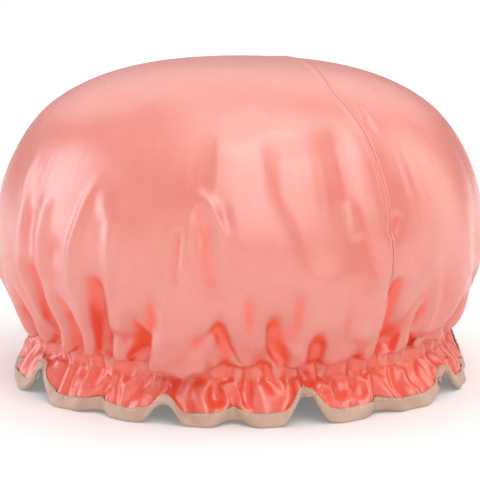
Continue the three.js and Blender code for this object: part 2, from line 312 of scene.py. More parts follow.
@dataclass
class CutCloth:
    """The cloth as it is cut, and where the elastic and the binding then hold it."""

    grid: ClothGrid
    flutes: Flutes
    hem_fullness: float = 0.50
    widest_fullness: float = 0.015
    fullness_at: tuple = (0.0, 0.10, 0.16, 0.205, 0.24)
    extra_drop: float = 0.02
    drop_at: tuple = (0.0, 0.10, 0.18)
    sag: float = 0.018
    sag_from: float = 0.19
    held_step: float = 0.0035
    gather_depth: float = 0.007
    gather_width: float = 0.04
    gathers_from: float = 0.185
    waves: int = 10
    waves_from: float = 0.17
    onset: float = 0.06
    grain: float = 0.0002
    pucker_depth: float = 0.0014
    pucker_count: int = 57
    seed: int = 7

    def cut_points(self) -> np.ndarray:
        """Places each point on the cut cloth: full at the hem, and longer than the outline."""
        grid = self.grid
        length, radius, height = grid.outline.profile()
        stops = [*self.fullness_at, grid.hem]
        widest = self.widest_fullness
        fullness = [0.0, 0.0, 0.35 * widest, widest, 0.45 * self.hem_fullness, self.hem_fullness]
        wide = radius * (1 + np.interp(length, stops, fullness))
        extra = self.extra_drop
        drop = np.interp(length, [*self.drop_at, grid.hem], [0.0, 0.0, extra, extra])
        steps = np.diff(length) * (1 + 0.5 * (drop[1:] + drop[:-1]))
        falls = np.sqrt(np.maximum(steps ** 2 - np.diff(wide) ** 2, 1e-12))
        low = np.concatenate([[height[0]], height[0] - np.cumsum(falls)])
        edge_radius = self.flutes.length() / (2 * math.pi)
        out = np.interp(grid.along, length, wide)
        up = np.interp(grid.along, length, low)
        out = out + (edge_radius - wide[-1]) * grid.below
        edge = self.flutes.edge(grid.angle)
        flared = np.hypot(edge[:, 0], edge[:, 1]) - grid.outline.hem_radius
        reach = np.hypot(flared, grid.outline.hem_height - edge[:, 2])
        up = up - np.minimum(grid.ruffle_drop, reach) * grid.below
        up = up - self._slack() * unit((grid.along - self.sag_from) / (grid.hem - self.sag_from))
        return around(out, grid.angle, up)

    def _slack(self) -> np.ndarray:
        """Extra length in a few places, where the cloth sags over the elastic."""
        places = ((-0.54, 0.13, 1.0), (0.83, 0.15, 0.5), (-1.6, 0.12, 0.4))
        places += ((2.2, 0.15, 0.5), (3.3, 0.15, 0.6), (4.0, 0.12, 0.5))
        slack = np.zeros(len(self.grid.angle))
        for middle, width, share in places:
            slack += share * bell(angle_apart(self.grid.angle, middle) / width)
        return self.sag * slack

    def held_points(self) -> tuple[np.ndarray, np.ndarray]:
        """Places the rows that are held: three along the elastic, and the raw edge in the binding.

        Returns:
            The held points' numbers and places.
        """
        grid = self.grid
        outline = grid.outline
        numbers = []
        places = []
        for row in (-1, 0, 1):
            ring = grid.rings[grid.side_rows + row]
            angle = grid.angle[ring]
            bend = 2.6 * np.sin(5 * angle + 0.4) + 1.2 * np.sin(11 * angle + 2.0)
            uneven = 0.7 + 0.3 * np.sin(13 * angle + 1.0)
            wave = np.sin(self.pucker_count * angle + bend)
            radius = outline.hem_radius + self.pucker_depth * uneven * wave
            up = np.full(len(ring), outline.hem_height - row * self.held_step)
            numbers.append(ring)
            places.append(around(radius, angle, up))
        edge = grid.rings[-1]
        numbers.append(edge)
        places.append(self.flutes.edge(grid.angle[edge]))
        return np.concatenate(numbers), np.concatenate(places)

    def start_points(self, cut: np.ndarray, unevenness: float = 0.0005) -> np.ndarray:
        """Gives the cut cloth slight waves and dents, so that its gathers fall where the elastic drew them.

        Args:
            cut: the cut cloth's points.
            unevenness: the waves' height in metres.

        Returns:
            The points that the draping starts from.
        """
        grid = self.grid
        chance = np.random.default_rng(self.seed)
        wave = np.zeros(len(grid.angle))
        for _ in range(self.waves):
            cycles = chance.integers(14, 44)
            shift = chance.uniform(0, 6.28)
            wave += np.sin(cycles * grid.angle + shift) * chance.uniform(0.5, 1)
        on_dome = grid.below == 0
        fade = unit((grid.along - self.waves_from) / self.onset) * on_dome
        low = unit((grid.along - self.gathers_from) / self.onset) * on_dome
        outward = around(1.0, grid.angle, np.zeros(len(wave)))
        grain = chance.normal(size=len(wave)) * self.grain
        dents = np.zeros(len(wave))
        for middle, depth in self._gathers(chance):
            dents += depth * bell(angle_apart(grid.angle, middle) / self.gather_width)
        return cut + outward * ((wave * unevenness + grain) * fade - self.gather_depth * dents * low)[:, None]

    @staticmethod
    def _gathers(chance: np.random.Generator) -> list[tuple[float, float]]:
        """Chooses where the deep gathers fall: as seen from the front, and unevenly round the back.

        Args:
            chance: the seeded source of chance.

        Returns:
            Each gather's angle and share of the full depth.
        """
        front = [(-66, 0.6), (-55, 0.8), (-46, 0.6), (-36, 1.2), (-25, 1.2), (-4, 0.5), (8, 1.2)]
        front += [(18, 0.6), (28, 0.6), (38, 1.0), (48, 1.0), (62, 0.9)]
        turns = np.arange(76, 282, 15.5)
        turns = turns + chance.uniform(-4, 4, len(turns))
        back = list(zip(turns, chance.uniform(0.5, 1.1, len(turns))))
        return [(math.radians(turn + FRONT_TURN), depth) for turn, depth in front + back]


@dataclass(frozen=True)
class PressedFold:
    """A soft ridge, or a valley where its height is negative, along a line on the filled-out cap.

    The line's points give the turn to the right of the front in degrees and the millimetres from the apex,
    from the top down. The height and the half width are in millimetres, with a width of its own to the right
    if given. A line that ends in the gathers has no fade at its lower end, and grows narrower towards it.
    """

    line: tuple
    height: float
    width: float
    right_width: float = 0.0
    gathers_from: float = 245.0
    fade: float = 0.22
    gathered_fade: float = 0.45

    def relief(self, places: np.ndarray, outline: CapOutline) -> np.ndarray:
        """Gives the fold's height over the outline.

        Args:
            places: points on the filled-out cap.
            outline: the cap's outline.

        Returns:
            The height at each point, in metres.
        """
        turns = np.radians(np.array([turn for turn, _ in self.line]) + FRONT_TURN)
        reach = np.array([distance for _, distance in self.line]) / 1000.0
        corners = outline.places(turns, reach)
        starts = running_length(corners)
        steps = np.linalg.norm(np.diff(corners, axis=0), axis=1)
        nearest = np.full(len(places), np.inf)
        share = np.zeros(len(places))
        right = np.zeros(len(places), bool)
        for first, last, start, step in zip(corners, corners[1:], starts, steps):
            way = (last - first) / step
            walked = np.clip((places - first) @ way, 0.0, step)
            offset = places - first - walked[:, None] * way
            apart = np.linalg.norm(offset, axis=1)
            closer = apart < nearest
            nearest = np.where(closer, apart, nearest)
            share = np.where(closer, (start + walked) / starts[-1], share)
            right = np.where(closer, offset @ np.cross(first, way) > 0.0, right)
        gathered = self.line[-1][1] > self.gathers_from
        ends = unit(share / (self.gathered_fade if gathered else self.fade))
        if not gathered:
            ends = np.minimum(ends, unit((1.0 - share) / self.fade))
        ends = 0.1 + 0.9 * ends * ends * (3.0 - 2.0 * ends)
        width = np.where(right, self.right_width or self.width, self.width)
        if gathered:
            width = width * (1.25 - 0.5 * share)
        return 0.001 * self.height * ends * bell(1000.0 * nearest / width)


@dataclass
class PressedFolds:
    """The folds and dents that handling has left in the satin."""

    outline: CapOutline
    seed: int = 11

    def relief(self, angle: np.ndarray, along: np.ndarray) -> np.ndarray:
        """Adds all the folds up.

        Args:
            angle: each point's angle round the cap.
            along: each point's length from the apex.

        Returns:
            The height at each point, in metres.
        """
        places = self.outline.places(angle, along)
        total = np.zeros(len(places))
        for fold in self._front() + self._hem() + self._round_the_back():
            total += fold.relief(places, self.outline)
        return total

    @staticmethod
    def _front() -> list[PressedFold]:
        """The dents in the crown and the sides, as they lie towards the front."""
        return [
            PressedFold(((-63, 140), (-59, 170), (-60, 192), (-58, 228)), 2.2, 5.0),
            PressedFold(((-55, 165), (-55, 225)), -2.4, 5.0),
            PressedFold(((-49, 158), (-51, 182), (-51, 214)), 1.9, 5.0),
            PressedFold(((-46, 180), (-47, 232)), -2.2, 5.5),
            PressedFold(((-35, 150), (-40, 187), (-42, 222)), 2.4, 3.2),
            PressedFold(((-34, 154), (-29, 172), (-30, 220)), 1.9, 4.5),
            PressedFold(((-13, 208), (-11, 185), (-11, 165), (-9, 156), (-6, 163), (0, 190)), 1.9, 3.4),
            PressedFold(((-8, 166), (-7, 186), (-5, 208)), -2.2, 6.0),
            PressedFold(((-4, 157), (-2, 182), (2, 202)), -1.5, 3.0),
            PressedFold(((-13, 170), (-14, 202)), -1.5, 2.8),
            PressedFold(((-6, 110), (-6, 160), (-1, 190), (4, 214)), 1.6, 5.0, 15.0),
            PressedFold(((9, 114), (10, 152), (14, 174), (18, 206)), -3.2, 8.0, 36.0),
            PressedFold(((27, 108), (26, 153), (30, 190), (32, 216)), -3.2, 12.0, 8.0),
            PressedFold(((26, 157), (27, 182)), 1.5, 4.0),
            PressedFold(((41, 98), (39, 113), (38, 126)), -1.0, 2.6),
            PressedFold(((38, 167), (35, 182)), -1.7, 4.0),
        ]

    @staticmethod
    def _hem() -> list[PressedFold]:
        """The gathers that the elastic draws into the front."""
        return [
            PressedFold(((-34, 190), (-34, 219), (-35, 234), (-37, 260)), -7.0, 6.0),
            PressedFold(((-19, 196), (-20, 221), (-23, 240), (-25, 260)), -7.0, 5.0),
            PressedFold(((-30, 195), (-31, 215), (-36, 250)), 1.8, 4.0),
            PressedFold(((-29, 228), (-28, 258)), -2.2, 4.0),
            PressedFold(((-42, 205), (-46, 258)), -2.6, 4.5),
            PressedFold(((-49, 205), (-50, 256)), 1.8, 4.5),
            PressedFold(((-55, 212), (-54, 256)), -2.8, 4.5),
            PressedFold(((-62, 205), (-60, 256)), 2.0, 4.5),
            PressedFold(((-16, 205), (-21, 234), (-21, 258)), 2.0, 5.0),
            PressedFold(((-18, 232), (-16, 242), (-10, 231), (-5, 229), (0, 250)), -2.3, 4.0),
            PressedFold(((-15, 250), (-8, 245)), 3.8, 9.0),
            PressedFold(((-33, 236), (-28, 241)), -1.8, 4.0),
            PressedFold(((3, 220), (5, 244), (8, 260)), 1.7, 4.5),
            PressedFold(((6, 214), (8, 238), (10, 261)), -4.8, 6.0),
            PressedFold(((13, 234), (12, 258)), 2.0, 4.0),
            PressedFold(((19, 236), (18, 253)), -2.3, 4.5),
            PressedFold(((24, 214), (29, 239), (28, 260)), 2.0, 5.0),
            PressedFold(((39, 192), (38, 214), (37, 236), (37, 259)), -3.2, 4.0),
            PressedFold(((49, 205), (44, 230), (42, 242), (38, 257)), -4.2, 4.5),
            PressedFold(((55, 208), (51, 236), (45, 252)), 2.0, 4.5),
            PressedFold(((66, 205), (61, 231), (56, 244), (50, 252), (42, 260)), -5.6, 5.5),
            PressedFold(((70, 222), (66, 240), (58, 252)), 1.8, 4.5),
            PressedFold(((76, 226), (72, 246), (66, 258)), -3.4, 5.0),
        ]

    def _round_the_back(self) -> list[PressedFold]:
        """Gathers and dents at chance places from one side round the back to the other."""
        chance = np.random.default_rng(self.seed)
        folds = []
        for turn in range(74, 288, 11):
            low = turn + chance.uniform(-3, 3)
            lean = chance.uniform(-5, 5)
            top = chance.uniform(178, 222)
            height = chance.uniform(1.8, 3.6) * chance.choice([-1, -1, 1])
            folds.append(PressedFold(((low + lean, top), (low, 258)), height, chance.uniform(4.5, 6.5)))
        for turn in range(80, 280, 24):
            start = (turn + chance.uniform(-6, 6), chance.uniform(115, 150))
            end = (start[0] + chance.uniform(-10, 10), start[1] + chance.uniform(55, 85))
            height = chance.uniform(1.0, 1.9) * chance.choice([-1, 1])
            folds.append(PressedFold((start, end), height, chance.uniform(7, 12)))
        return folds


def deselect_all() -> None:
    """Leaves object mode with nothing selected."""
    if bpy.context.object is not None and bpy.context.object.mode != "OBJECT":
        bpy.ops.object.mode_set(mode="OBJECT")
    bpy.ops.object.select_all(action="DESELECT")


def make_active(piece: bpy.types.Object) -> None:
    """Selects one piece alone and makes it active."""
    deselect_all()
    piece.select_set(True)
    bpy.context.view_layer.objects.active = piece


def apply_modifiers(piece: bpy.types.Object) -> None:
    """Applies all modifiers of a piece in order."""
    make_active(piece)
    for name in [modifier.name for modifier in piece.modifiers]:
        bpy.ops.object.modifier_apply(modifier=name)


def new_piece(name: str, points: np.ndarray, faces: list) -> bpy.types.Object:
    """Makes a mesh object from points and faces.

    Args:
        name: the piece's name.
        points: its points in metres.
        faces: its faces as lists of point numbers.

    Returns:
        The new object, linked to the scene.
    """
    mesh = bpy.data.meshes.new(name)
    mesh.from_pydata(np.asarray(points, float).tolist(), [], [list(map(int, face)) for face in faces])
    piece = bpy.data.objects.new(name, mesh)
    bpy.context.scene.collection.objects.link(piece)
    return piece


def remove_piece(piece: bpy.types.Object) -> None:
    """Takes a helper object and its mesh away again."""
    mesh = piece.data
    bpy.data.objects.remove(piece)
    bpy.data.meshes.remove(mesh)


def points_of(mesh: bpy.types.Mesh) -> np.ndarray:
    """A mesh's points as rows of numbers."""
    values = np.empty(3 * len(mesh.vertices))
    mesh.vertices.foreach_get("co", values)
    return values.reshape(-1, 3)


def set_points(mesh: bpy.types.Mesh, points: np.ndarray) -> None:
    """Moves a mesh's points."""
    mesh.vertices.foreach_set("co", np.asarray(points, np.float32).ravel())
    mesh.update()


def normals_of(mesh: bpy.types.Mesh) -> np.ndarray:
    """A mesh's point normals as rows of numbers."""
    values = np.empty(3 * len(mesh.vertices))
    mesh.vertex_normals.foreach_get("vector", values)
    return values.reshape(-1, 3)


def attribute_of(mesh: bpy.types.Mesh, name: str) -> np.ndarray:
    """A point attribute's numbers."""
    values = np.empty(len(mesh.vertices))
    mesh.attributes[name].data.foreach_get("value", values)
    return values


@contextmanager
def edited(mesh: bpy.types.Mesh) -> Iterator[bmesh.types.BMesh]:
    """Opens a mesh for editing, and writes it back afterwards.

    Args:
        mesh: the mesh.

    Yields:
        Its editable shape.
    """
    shape = bmesh.new()
    shape.from_mesh(mesh)
    yield shape
    shape.to_mesh(mesh)
    shape.free()
    mesh.update()


def smoothed_points(mesh: bpy.types.Mesh, rounds: int) -> np.ndarray:
    """Draws each point half way to the middle of its neighbours, again and again.

    Args:
        mesh: the mesh, which is left as it is.
        rounds: how often.

    Returns:
        The smoothed points.
    """
    smooth = points_of(mesh)
    count = len(smooth)
    ends = np.empty(2 * len(mesh.edges), np.int32)
    mesh.edges.foreach_get("vertices", ends)
    first, last = ends.reshape(-1, 2).T
    joined = np.bincount(ends, minlength=count)
    for _ in range(rounds):
        total = [np.bincount(first, smooth[last, axis], count) + np.bincount(last, smooth[first, axis], count)
                 for axis in range(3)]
        smooth = 0.5 * smooth + 0.5 * np.stack(total, axis=-1) / joined[:, None]
    return smooth


def shade_smooth(piece: bpy.types.Object) -> None:
    """Shades a piece smooth."""
    piece.data.polygons.foreach_set("use_smooth", np.ones(len(piece.data.polygons), bool))
    piece.data.update()


def thicken(piece: bpy.types.Object, thickness: float, rounding: float = 0.0) -> None:
    """Gives a sheet its thickness, inwards from its outer face.

    Args:
        piece: the sheet.
        thickness: its thickness in metres.
        rounding: the width of its rounded edges, or nought.
    """
    wall = piece.modifiers.new("wall", "SOLIDIFY")
    wall.thickness = thickness
    wall.offset = -1.0
    if rounding:
        edges = piece.modifiers.new("edges", "BEVEL")
        edges.width = rounding
        edges.segments = 2
    apply_modifiers(piece)
    shade_smooth(piece)


def surface_of(points: np.ndarray, faces: list) -> BVHTree:
    """A surface to find the nearest place on."""
    polygons = [tuple(map(int, face)) for face in faces]
    return BVHTree.FromPolygons([Vector(point) for point in points], polygons)


def faces_of(mesh: bpy.types.Mesh) -> list[tuple]:
    """A mesh's faces as tuples of point numbers."""
    return [tuple(face.vertices) for face in mesh.polygons]


def stand_for(piece: bpy.types.Object, material: bpy.types.Material, node: str) -> None:
    """Gives a piece its material, and hides the node that it stands for.

    Args:
        piece: the piece.
        material: its material.
        node: the node that it replaces.
    """
    piece.data.materials.append(material)
    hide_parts(node)
    LOG.info("%s: %d faces", piece.name, len(piece.data.polygons))


@dataclass
class ClothDraping:
    """Drapes the cut cloth over a filled shape while the elastic draws its hem in."""

    cloth: CutCloth
    scale: float = 10.0
    frames: int = 36
    drawing_frames: int = 20
    steps: int = 6
    weight: float = 0.15
    stretch: float = 30.0
    shear: float = 8.0
    bending: float = 2.5
    gravity: float = 0.8
    pressure: float = 5.0
    damping: float = 5.0
    bending_damping: float = 0.5
    air_drag: float = 1.0
    least_gap: float = 0.010
    least_fold_gap: float = 0.008
    fold_friction: float = 5.0
    filling_friction: float = 8.0
    inset_crown: float = 0.003
    inset_widest: float = 0.005
    inset_hem: float = 0.022
    inset_at: tuple = (0.0, 0.12, 0.20)
    filling_skin: float = 0.01
    filling_depth: float = 0.2
    table_size: float = 8.0
    table_skin: float = 0.005
    underside_radii: tuple = (0.095, 0.080)
    underside_heights: tuple = (0.030, 0.034)

    def drape(self) -> np.ndarray:
        """Returns:
            The draped cloth's points in metres.
        """
        piece = self._hang()
        form = self._filling()
        floor = self._table()
        scene = bpy.context.scene
        for number in range(1, self.frames + 1):
            scene.frame_set(number)
        evaluated = piece.evaluated_get(bpy.context.evaluated_depsgraph_get())
        draped = points_of(evaluated.data) / self.scale
        scene.frame_set(1)
        piece.data.shape_keys.animation_data_clear()
        for helper in (piece, form, floor):
            remove_piece(helper)
        return draped

    def _hang(self) -> bpy.types.Object:
        """Makes the cloth with its held rows, enlarged for the solver."""
        cut = self.cloth.cut_points()
        start = self.cloth.start_points(cut)
        numbers, places = self.cloth.held_points()
        drawn = start.copy()
        drawn[numbers] = places
        piece = new_piece("draping_cloth", start * self.scale, self.cloth.grid.faces)
        piece.shape_key_add(name="Basis")
        drawing = piece.shape_key_add(name="drawn")
        drawing.data.foreach_set("co", (drawn * self.scale).ravel())
        rest = piece.shape_key_add(name="cut")
        rest.data.foreach_set("co", (cut * self.scale).ravel())
        drawing.value = 0.0
        drawing.keyframe_insert("value", frame=1)
        drawing.value = 1.0
        drawing.keyframe_insert("value", frame=self.drawing_frames)
        held = piece.vertex_groups.new(name="held")
        held.add([int(number) for number in numbers], 1.0, "REPLACE")
        modifier = piece.modifiers.new("Cloth", "CLOTH")
        self._set_cloth(modifier, rest)
        return piece

    def _set_cloth(self, modifier: bpy.types.ClothModifier, rest: bpy.types.ShapeKey) -> None:
        """Sets the satin's weight and stiffness on the solver.

        Args:
            modifier: the cloth modifier.
            rest: the shape that the cloth was cut to.
        """
        settings = modifier.settings
        settings.quality = self.steps
        settings.mass = self.weight
        settings.tension_stiffness = self.stretch
        settings.compression_stiffness = self.stretch
        settings.shear_stiffness = self.shear
        settings.bending_stiffness = self.bending
        settings.tension_damping = self.damping
        settings.compression_damping = self.damping
        settings.shear_damping = self.damping
        settings.bending_damping = self.bending_damping
        settings.air_damping = self.air_drag
        settings.vertex_group_mass = "held"
        settings.pin_stiffness = 1.0
        settings.effector_weights.gravity = self.gravity
        settings.rest_shape_key = rest
        settings.use_pressure = True
        settings.uniform_pressure_force = self.pressure
        collision = modifier.collision_settings
        collision.use_collision = True
        collision.distance_min = self.least_gap
        collision.collision_quality = 3
        collision.use_self_collision = True
        collision.self_distance_min = self.least_fold_gap
        collision.self_friction = self.fold_friction
        modifier.point_cache.frame_start = 1
        modifier.point_cache.frame_end = self.frames

    def _filling(self, columns: int = 120, rows: int = 60) -> bpy.types.Object:
        """Makes the soft filling that the cap is shaped over, a little inside the outline.

        Args:
            columns: points round each ring.
            rows: rings from the apex to the elastic.

        Returns:
            The collision object.
        """
        hem = self.cloth.grid.hem
        length, radius, height = self.cloth.grid.outline.profile()
        along = np.linspace(0.002, hem, rows)
        out = np.interp(along, length, radius)
        up = np.interp(along, length, height)
        slope = np.hypot(np.gradient(out), np.gradient(up))
        insets = [self.inset_crown, self.inset_crown, self.inset_widest, self.inset_hem]
        inset = np.interp(along, [*self.inset_at, hem], insets)
        inner = np.maximum(out + np.gradient(up) / slope * inset, 0.0005)
        lower = up - np.gradient(out) / slope * inset
        inner = np.append(inner, self.underside_radii)
        lower = np.append(lower, self.underside_heights)
        turn = FULL_TURN * np.arange(columns) / columns
        points = [(0.0, 0.0, lower[0])]
        for ring_radius, ring_height in zip(inner, lower):
            points += [(ring_radius * math.cos(a), ring_radius * math.sin(a), ring_height) for a in turn]
        faces = []
        for column in range(columns):
            after = (column + 1) % columns
            faces.append((0, 1 + column, 1 + after))
            for row in range(len(inner) - 1):
                top = 1 + row * columns
                faces.append((top + column, top + columns + column, top + columns + after, top + after))
        bottom = 1 + (len(inner) - 1) * columns
        faces.append([bottom + column for column in range(columns)][::-1])
        filling = new_piece("draping_filling", np.array(points) * self.scale, faces)
        filling.modifiers.new("Collision", "COLLISION")
        filling.collision.thickness_outer = self.filling_skin
        filling.collision.thickness_inner = self.filling_depth
        filling.collision.cloth_friction = self.filling_friction
        return filling

    def _table(self) -> bpy.types.Object:
        """Makes the table that the ruffle stands on while it is draped."""
        deselect_all()
        bpy.ops.mesh.primitive_plane_add(size=self.table_size)
        table = bpy.context.object
        table.name = "draping_table"
        table.modifiers.new("Collision", "COLLISION")
        table.collision.thickness_outer = self.table_skin
        return table


class NodeBench:
    """Lays out one material's nodes and joins them up."""

    def __init__(self, name: str) -> None:
        """Starts an empty material with its shader and output."""
        self.material = bpy.data.materials.new(name)
        self.material.use_nodes = True
        self.tree = self.material.node_tree
        self.shader = self.tree.nodes["Principled BSDF"]

    def add(self, kind: str, **settings: object) -> bpy.types.Node:
        """Adds a node and sets its options.

        Args:
            kind: the node's type name.
            settings: its options by name.

        Returns:
            The new node.
        """
        node = self.tree.nodes.new(kind)
        for option, value in settings.items():
            setattr(node, option, value)
        return node

    def join(self, source: bpy.types.NodeSocket, target: bpy.types.NodeSocket) -> None:
        """Links one socket to another."""
        self.tree.links.new(source, target)

    def set_shader(self, **values: object) -> None:
        """Sets the shader's own sockets, with underscores for the spaces in their names."""
        for socket, value in values.items():
            self.shader.inputs[socket.replace("_", " ")].default_value = value

    def colour(self, source: bpy.types.NodeSocket) -> None:
        """Joins a colour to the shader."""
        self.join(source, self.shader.inputs["Base Color"])

    def roughness(self, source: bpy.types.NodeSocket, low: float, high: float) -> None:
        """Spreads a 0 to 1 value over a range of roughness."""
        self.join(self.range(source, low, high), self.shader.inputs["Roughness"])

    def placed(self, turn: float = 0.0, along: float = 1.0, across: float = 1.0) -> bpy.types.NodeSocket:
        """Gives a piece's own flat coordinates, turned and scaled.

        Args:
            turn: the turn in radians.
            along: the scale along the first axis.
            across: the scale along the second.

        Returns:
            The coordinates' socket.
        """
        source = self.add("ShaderNodeUVMap", uv_map=WEAVE)
        mapping = self.add("ShaderNodeMapping")
        mapping.inputs["Rotation"].default_value = (0.0, 0.0, turn)
        mapping.inputs["Scale"].default_value = (along, across, 1.0)
        self.join(source.outputs["UV"], mapping.inputs["Vector"])
        return mapping.outputs["Vector"]

    def noise(self, place: bpy.types.NodeSocket, scale: float, detail: float) -> bpy.types.NodeSocket:
        """Gives soft noise at a place."""
        node = self.add("ShaderNodeTexNoise")
        node.inputs["Scale"].default_value = scale
        node.inputs["Detail"].default_value = detail
        self.join(place, node.inputs["Vector"])
        return node.outputs["Fac"]

    def between(self, share: bpy.types.NodeSocket, low: tuple, high: tuple) -> bpy.types.NodeSocket:
        """Mixes two colours by a share.

        Args:
            share: the socket that picks between them.
            low: the colour up to a share of 0.35.
            high: the colour from a share of 0.65.

        Returns:
            The mixed colour's socket.
        """
        ramp = self.add("ShaderNodeValToRGB")
        for element, position, tone in zip(ramp.color_ramp.elements, (0.35, 0.65), (low, high)):
            element.position = position
            element.color = (*tone, 1.0)
        self.join(share, ramp.inputs["Fac"])
        return ramp.outputs["Color"]

    def grained(self, base: bpy.types.NodeSocket, threads: bpy.types.NodeSocket, share: float,
                darkest: float) -> bpy.types.NodeSocket:
        """Darkens a colour between the threads.

        Args:
            base: the colour.
            threads: the threads' height.
            share: how much of the darkening shows.
            darkest: the brightness that is left in the gaps.

        Returns:
            The darkened colour's socket.
        """
        gaps = self.between(threads, (darkest,) * 3, (1.0,) * 3)
        node = self.add("ShaderNodeMix", data_type="RGBA", blend_type="MULTIPLY")
        node.inputs["Factor"].default_value = share
        self.join(base, node.inputs["A"])
        self.join(gaps, node.inputs["B"])
        return node.outputs["Result"]

    def tinted(self, share: bpy.types.NodeSocket, first: bpy.types.NodeSocket,
               tint: tuple) -> bpy.types.NodeSocket:
        """Mixes a colour socket with one colour by a share socket."""
        node = self.add("ShaderNodeMix", data_type="RGBA")
        node.inputs["B"].default_value = (*tint, 1.0)
        self.join(share, node.inputs["Factor"])
        self.join(first, node.inputs["A"])
        return node.outputs["Result"]

    def range(self, source: bpy.types.NodeSocket, low: float, high: float) -> bpy.types.NodeSocket:
        """Spreads a 0 to 1 value over a range."""
        node = self.add("ShaderNodeMapRange")
        node.inputs["To Min"].default_value = low
        node.inputs["To Max"].default_value = high
        self.join(source, node.inputs["Value"])
        return node.outputs["Result"]

    def bump(self, heights: list[tuple[bpy.types.NodeSocket, float, float]]) -> None:
        """Stacks bumps on the shader's normal.

        Args:
            heights: each bump's height socket, strength and distance in metres.
        """
        normal = None
        for height, strength, distance in heights:
            node = self.add("ShaderNodeBump")
            node.inputs["Strength"].default_value = strength
            node.inputs["Distance"].default_value = distance
            self.join(height, node.inputs["Height"])
            if normal is not None:
                self.join(normal, node.inputs["Normal"])
            normal = node.outputs["Normal"]
        self.join(normal, self.shader.inputs["Normal"])


@dataclass(frozen=True)
class SatinFinish:
    """Coral satin: long shiny floats one way, with fine threads, a slight change of tone, and painted shade
    in its folds, towards the hem and on the ruffle.
    """

    name: str
    grain_turn: float
    light: tuple = (0.765, 0.229, 0.184)
    deep: tuple = (0.745, 0.200, 0.156)
    # Painted shade: the deeper orange-red colour that the folds, the hem and the ruffle are drawn towards.
    in_folds: tuple = (0.92, 0.078, 0.022)
    roughness: tuple = (0.21, 0.31)
    shine: float = 0.6

    def material(self) -> bpy.types.Material:
        """Makes the satin's material."""
        bench = NodeBench(self.name)
        flat = bench.placed(self.grain_turn)
        floats = bench.placed(self.grain_turn, 90.0, 620.0)
        wefts = bench.placed(self.grain_turn + math.pi / 2, 60.0, 420.0)
        tone = bench.noise(flat, 3.2, 3.0)
        threads = bench.noise(floats, 1.0, 2.0)
        crossings = bench.noise(wefts, 1.0, 1.0)
        base = bench.between(tone, self.deep, self.light)
        # Painted shade: the colour is drawn towards the painted shade colour by the share that the cloth
        # carries.
        painted_shade_share = bench.add("ShaderNodeAttribute", attribute_name="hollow").outputs["Fac"]
        base = bench.tinted(painted_shade_share, base, self.in_folds)
        bench.colour(bench.grained(base, threads, 0.35, 0.78))
        bench.roughness(threads, *self.roughness)
        tangent = bench.add("ShaderNodeTangent", direction_type="UV_MAP", uv_map=WEAVE)
        bench.join(tangent.outputs["Tangent"], bench.shader.inputs["Tangent"])
        bench.set_shader(Anisotropic=self.shine, Anisotropic_Rotation=self.grain_turn / FULL_TURN % 1.0)
        bench.set_shader(IOR=1.62, Specular_IOR_Level=1.0, Sheen_Weight=0.2, Sheen_Roughness=0.4)
        bench.set_shader(Sheen_Tint=(1.0, 0.72, 0.74, 1.0))
        bench.bump([(threads, 0.16, 0.0004), (crossings, 0.10, 0.0003)])
        return bench.material


@dataclass(frozen=True)
class FilmFinish:
    """Off-white waterproof film: smooth, with faint creases."""

    name: str = "lining_film"
    light: tuple = (0.86, 0.78, 0.75)
    deep: tuple = (0.80, 0.70, 0.67)

    def material(self) -> bpy.types.Material:
        """Makes the film's material."""
        bench = NodeBench(self.name)
        flat = bench.placed(0.4)
        tone = bench.noise(flat, 4.0, 4.0)
        creases = bench.noise(flat, 14.0, 5.0)
        bench.colour(bench.between(tone, self.deep, self.light))
        bench.roughness(creases, 0.22, 0.40)
        bench.set_shader(Specular_IOR_Level=0.5, Coat_Weight=0.1, Coat_Roughness=0.3)
        bench.bump([(creases, 0.35, 0.0012)])
        return bench.material


@dataclass(frozen=True)
class TapeFinish:
    """Champagne bias tape: a slight sheen, with its weave at 45 degrees to the edge."""

    name: str = "champagne_tape"
    light: tuple = (0.64, 0.44, 0.33)
    deep: tuple = (0.54, 0.36, 0.26)

    def material(self) -> bpy.types.Material:
        """Makes the tape's material."""
        bench = NodeBench(self.name)
        flat = bench.placed()
        warp = bench.placed(math.pi / 4, 70.0, 480.0)
        weft = bench.placed(-math.pi / 4, 70.0, 480.0)
        tone = bench.noise(flat, 5.0, 3.0)
        threads = bench.noise(warp, 1.0, 2.0)
        crossings = bench.noise(weft, 1.0, 2.0)
        base = bench.between(tone, self.deep, self.light)
        bench.colour(bench.grained(base, threads, 0.5, 0.76))
        bench.roughness(crossings, 0.34, 0.50)
        bench.set_shader(Specular_IOR_Level=0.5, Sheen_Weight=0.15, Sheen_Roughness=0.5)
        bench.set_shader(Sheen_Tint=(1.0, 0.93, 0.86, 1.0))
        bench.bump([(threads, 0.22, 0.0004), (crossings, 0.18, 0.0004)])
        return bench.material


@dataclass(frozen=True)
class ThreadFinish:
    """Sewing thread: matt, with fine streaks."""

    name: str
    light: tuple
    deep: tuple

    def material(self) -> bpy.types.Material:
        """Makes the thread's material."""
        bench = NodeBench(self.name)
        place = bench.add("ShaderNodeTexCoord").outputs["Object"]
        strands = bench.noise(place, 2600.0, 2.0)
        bench.colour(bench.between(strands, self.deep, self.light))
        bench.roughness(strands, 0.5, 0.75)
        bench.set_shader(Sheen_Weight=0.2, Sheen_Roughness=0.5)
        bench.bump([(strands, 0.4, 0.0002)])
        return bench.material


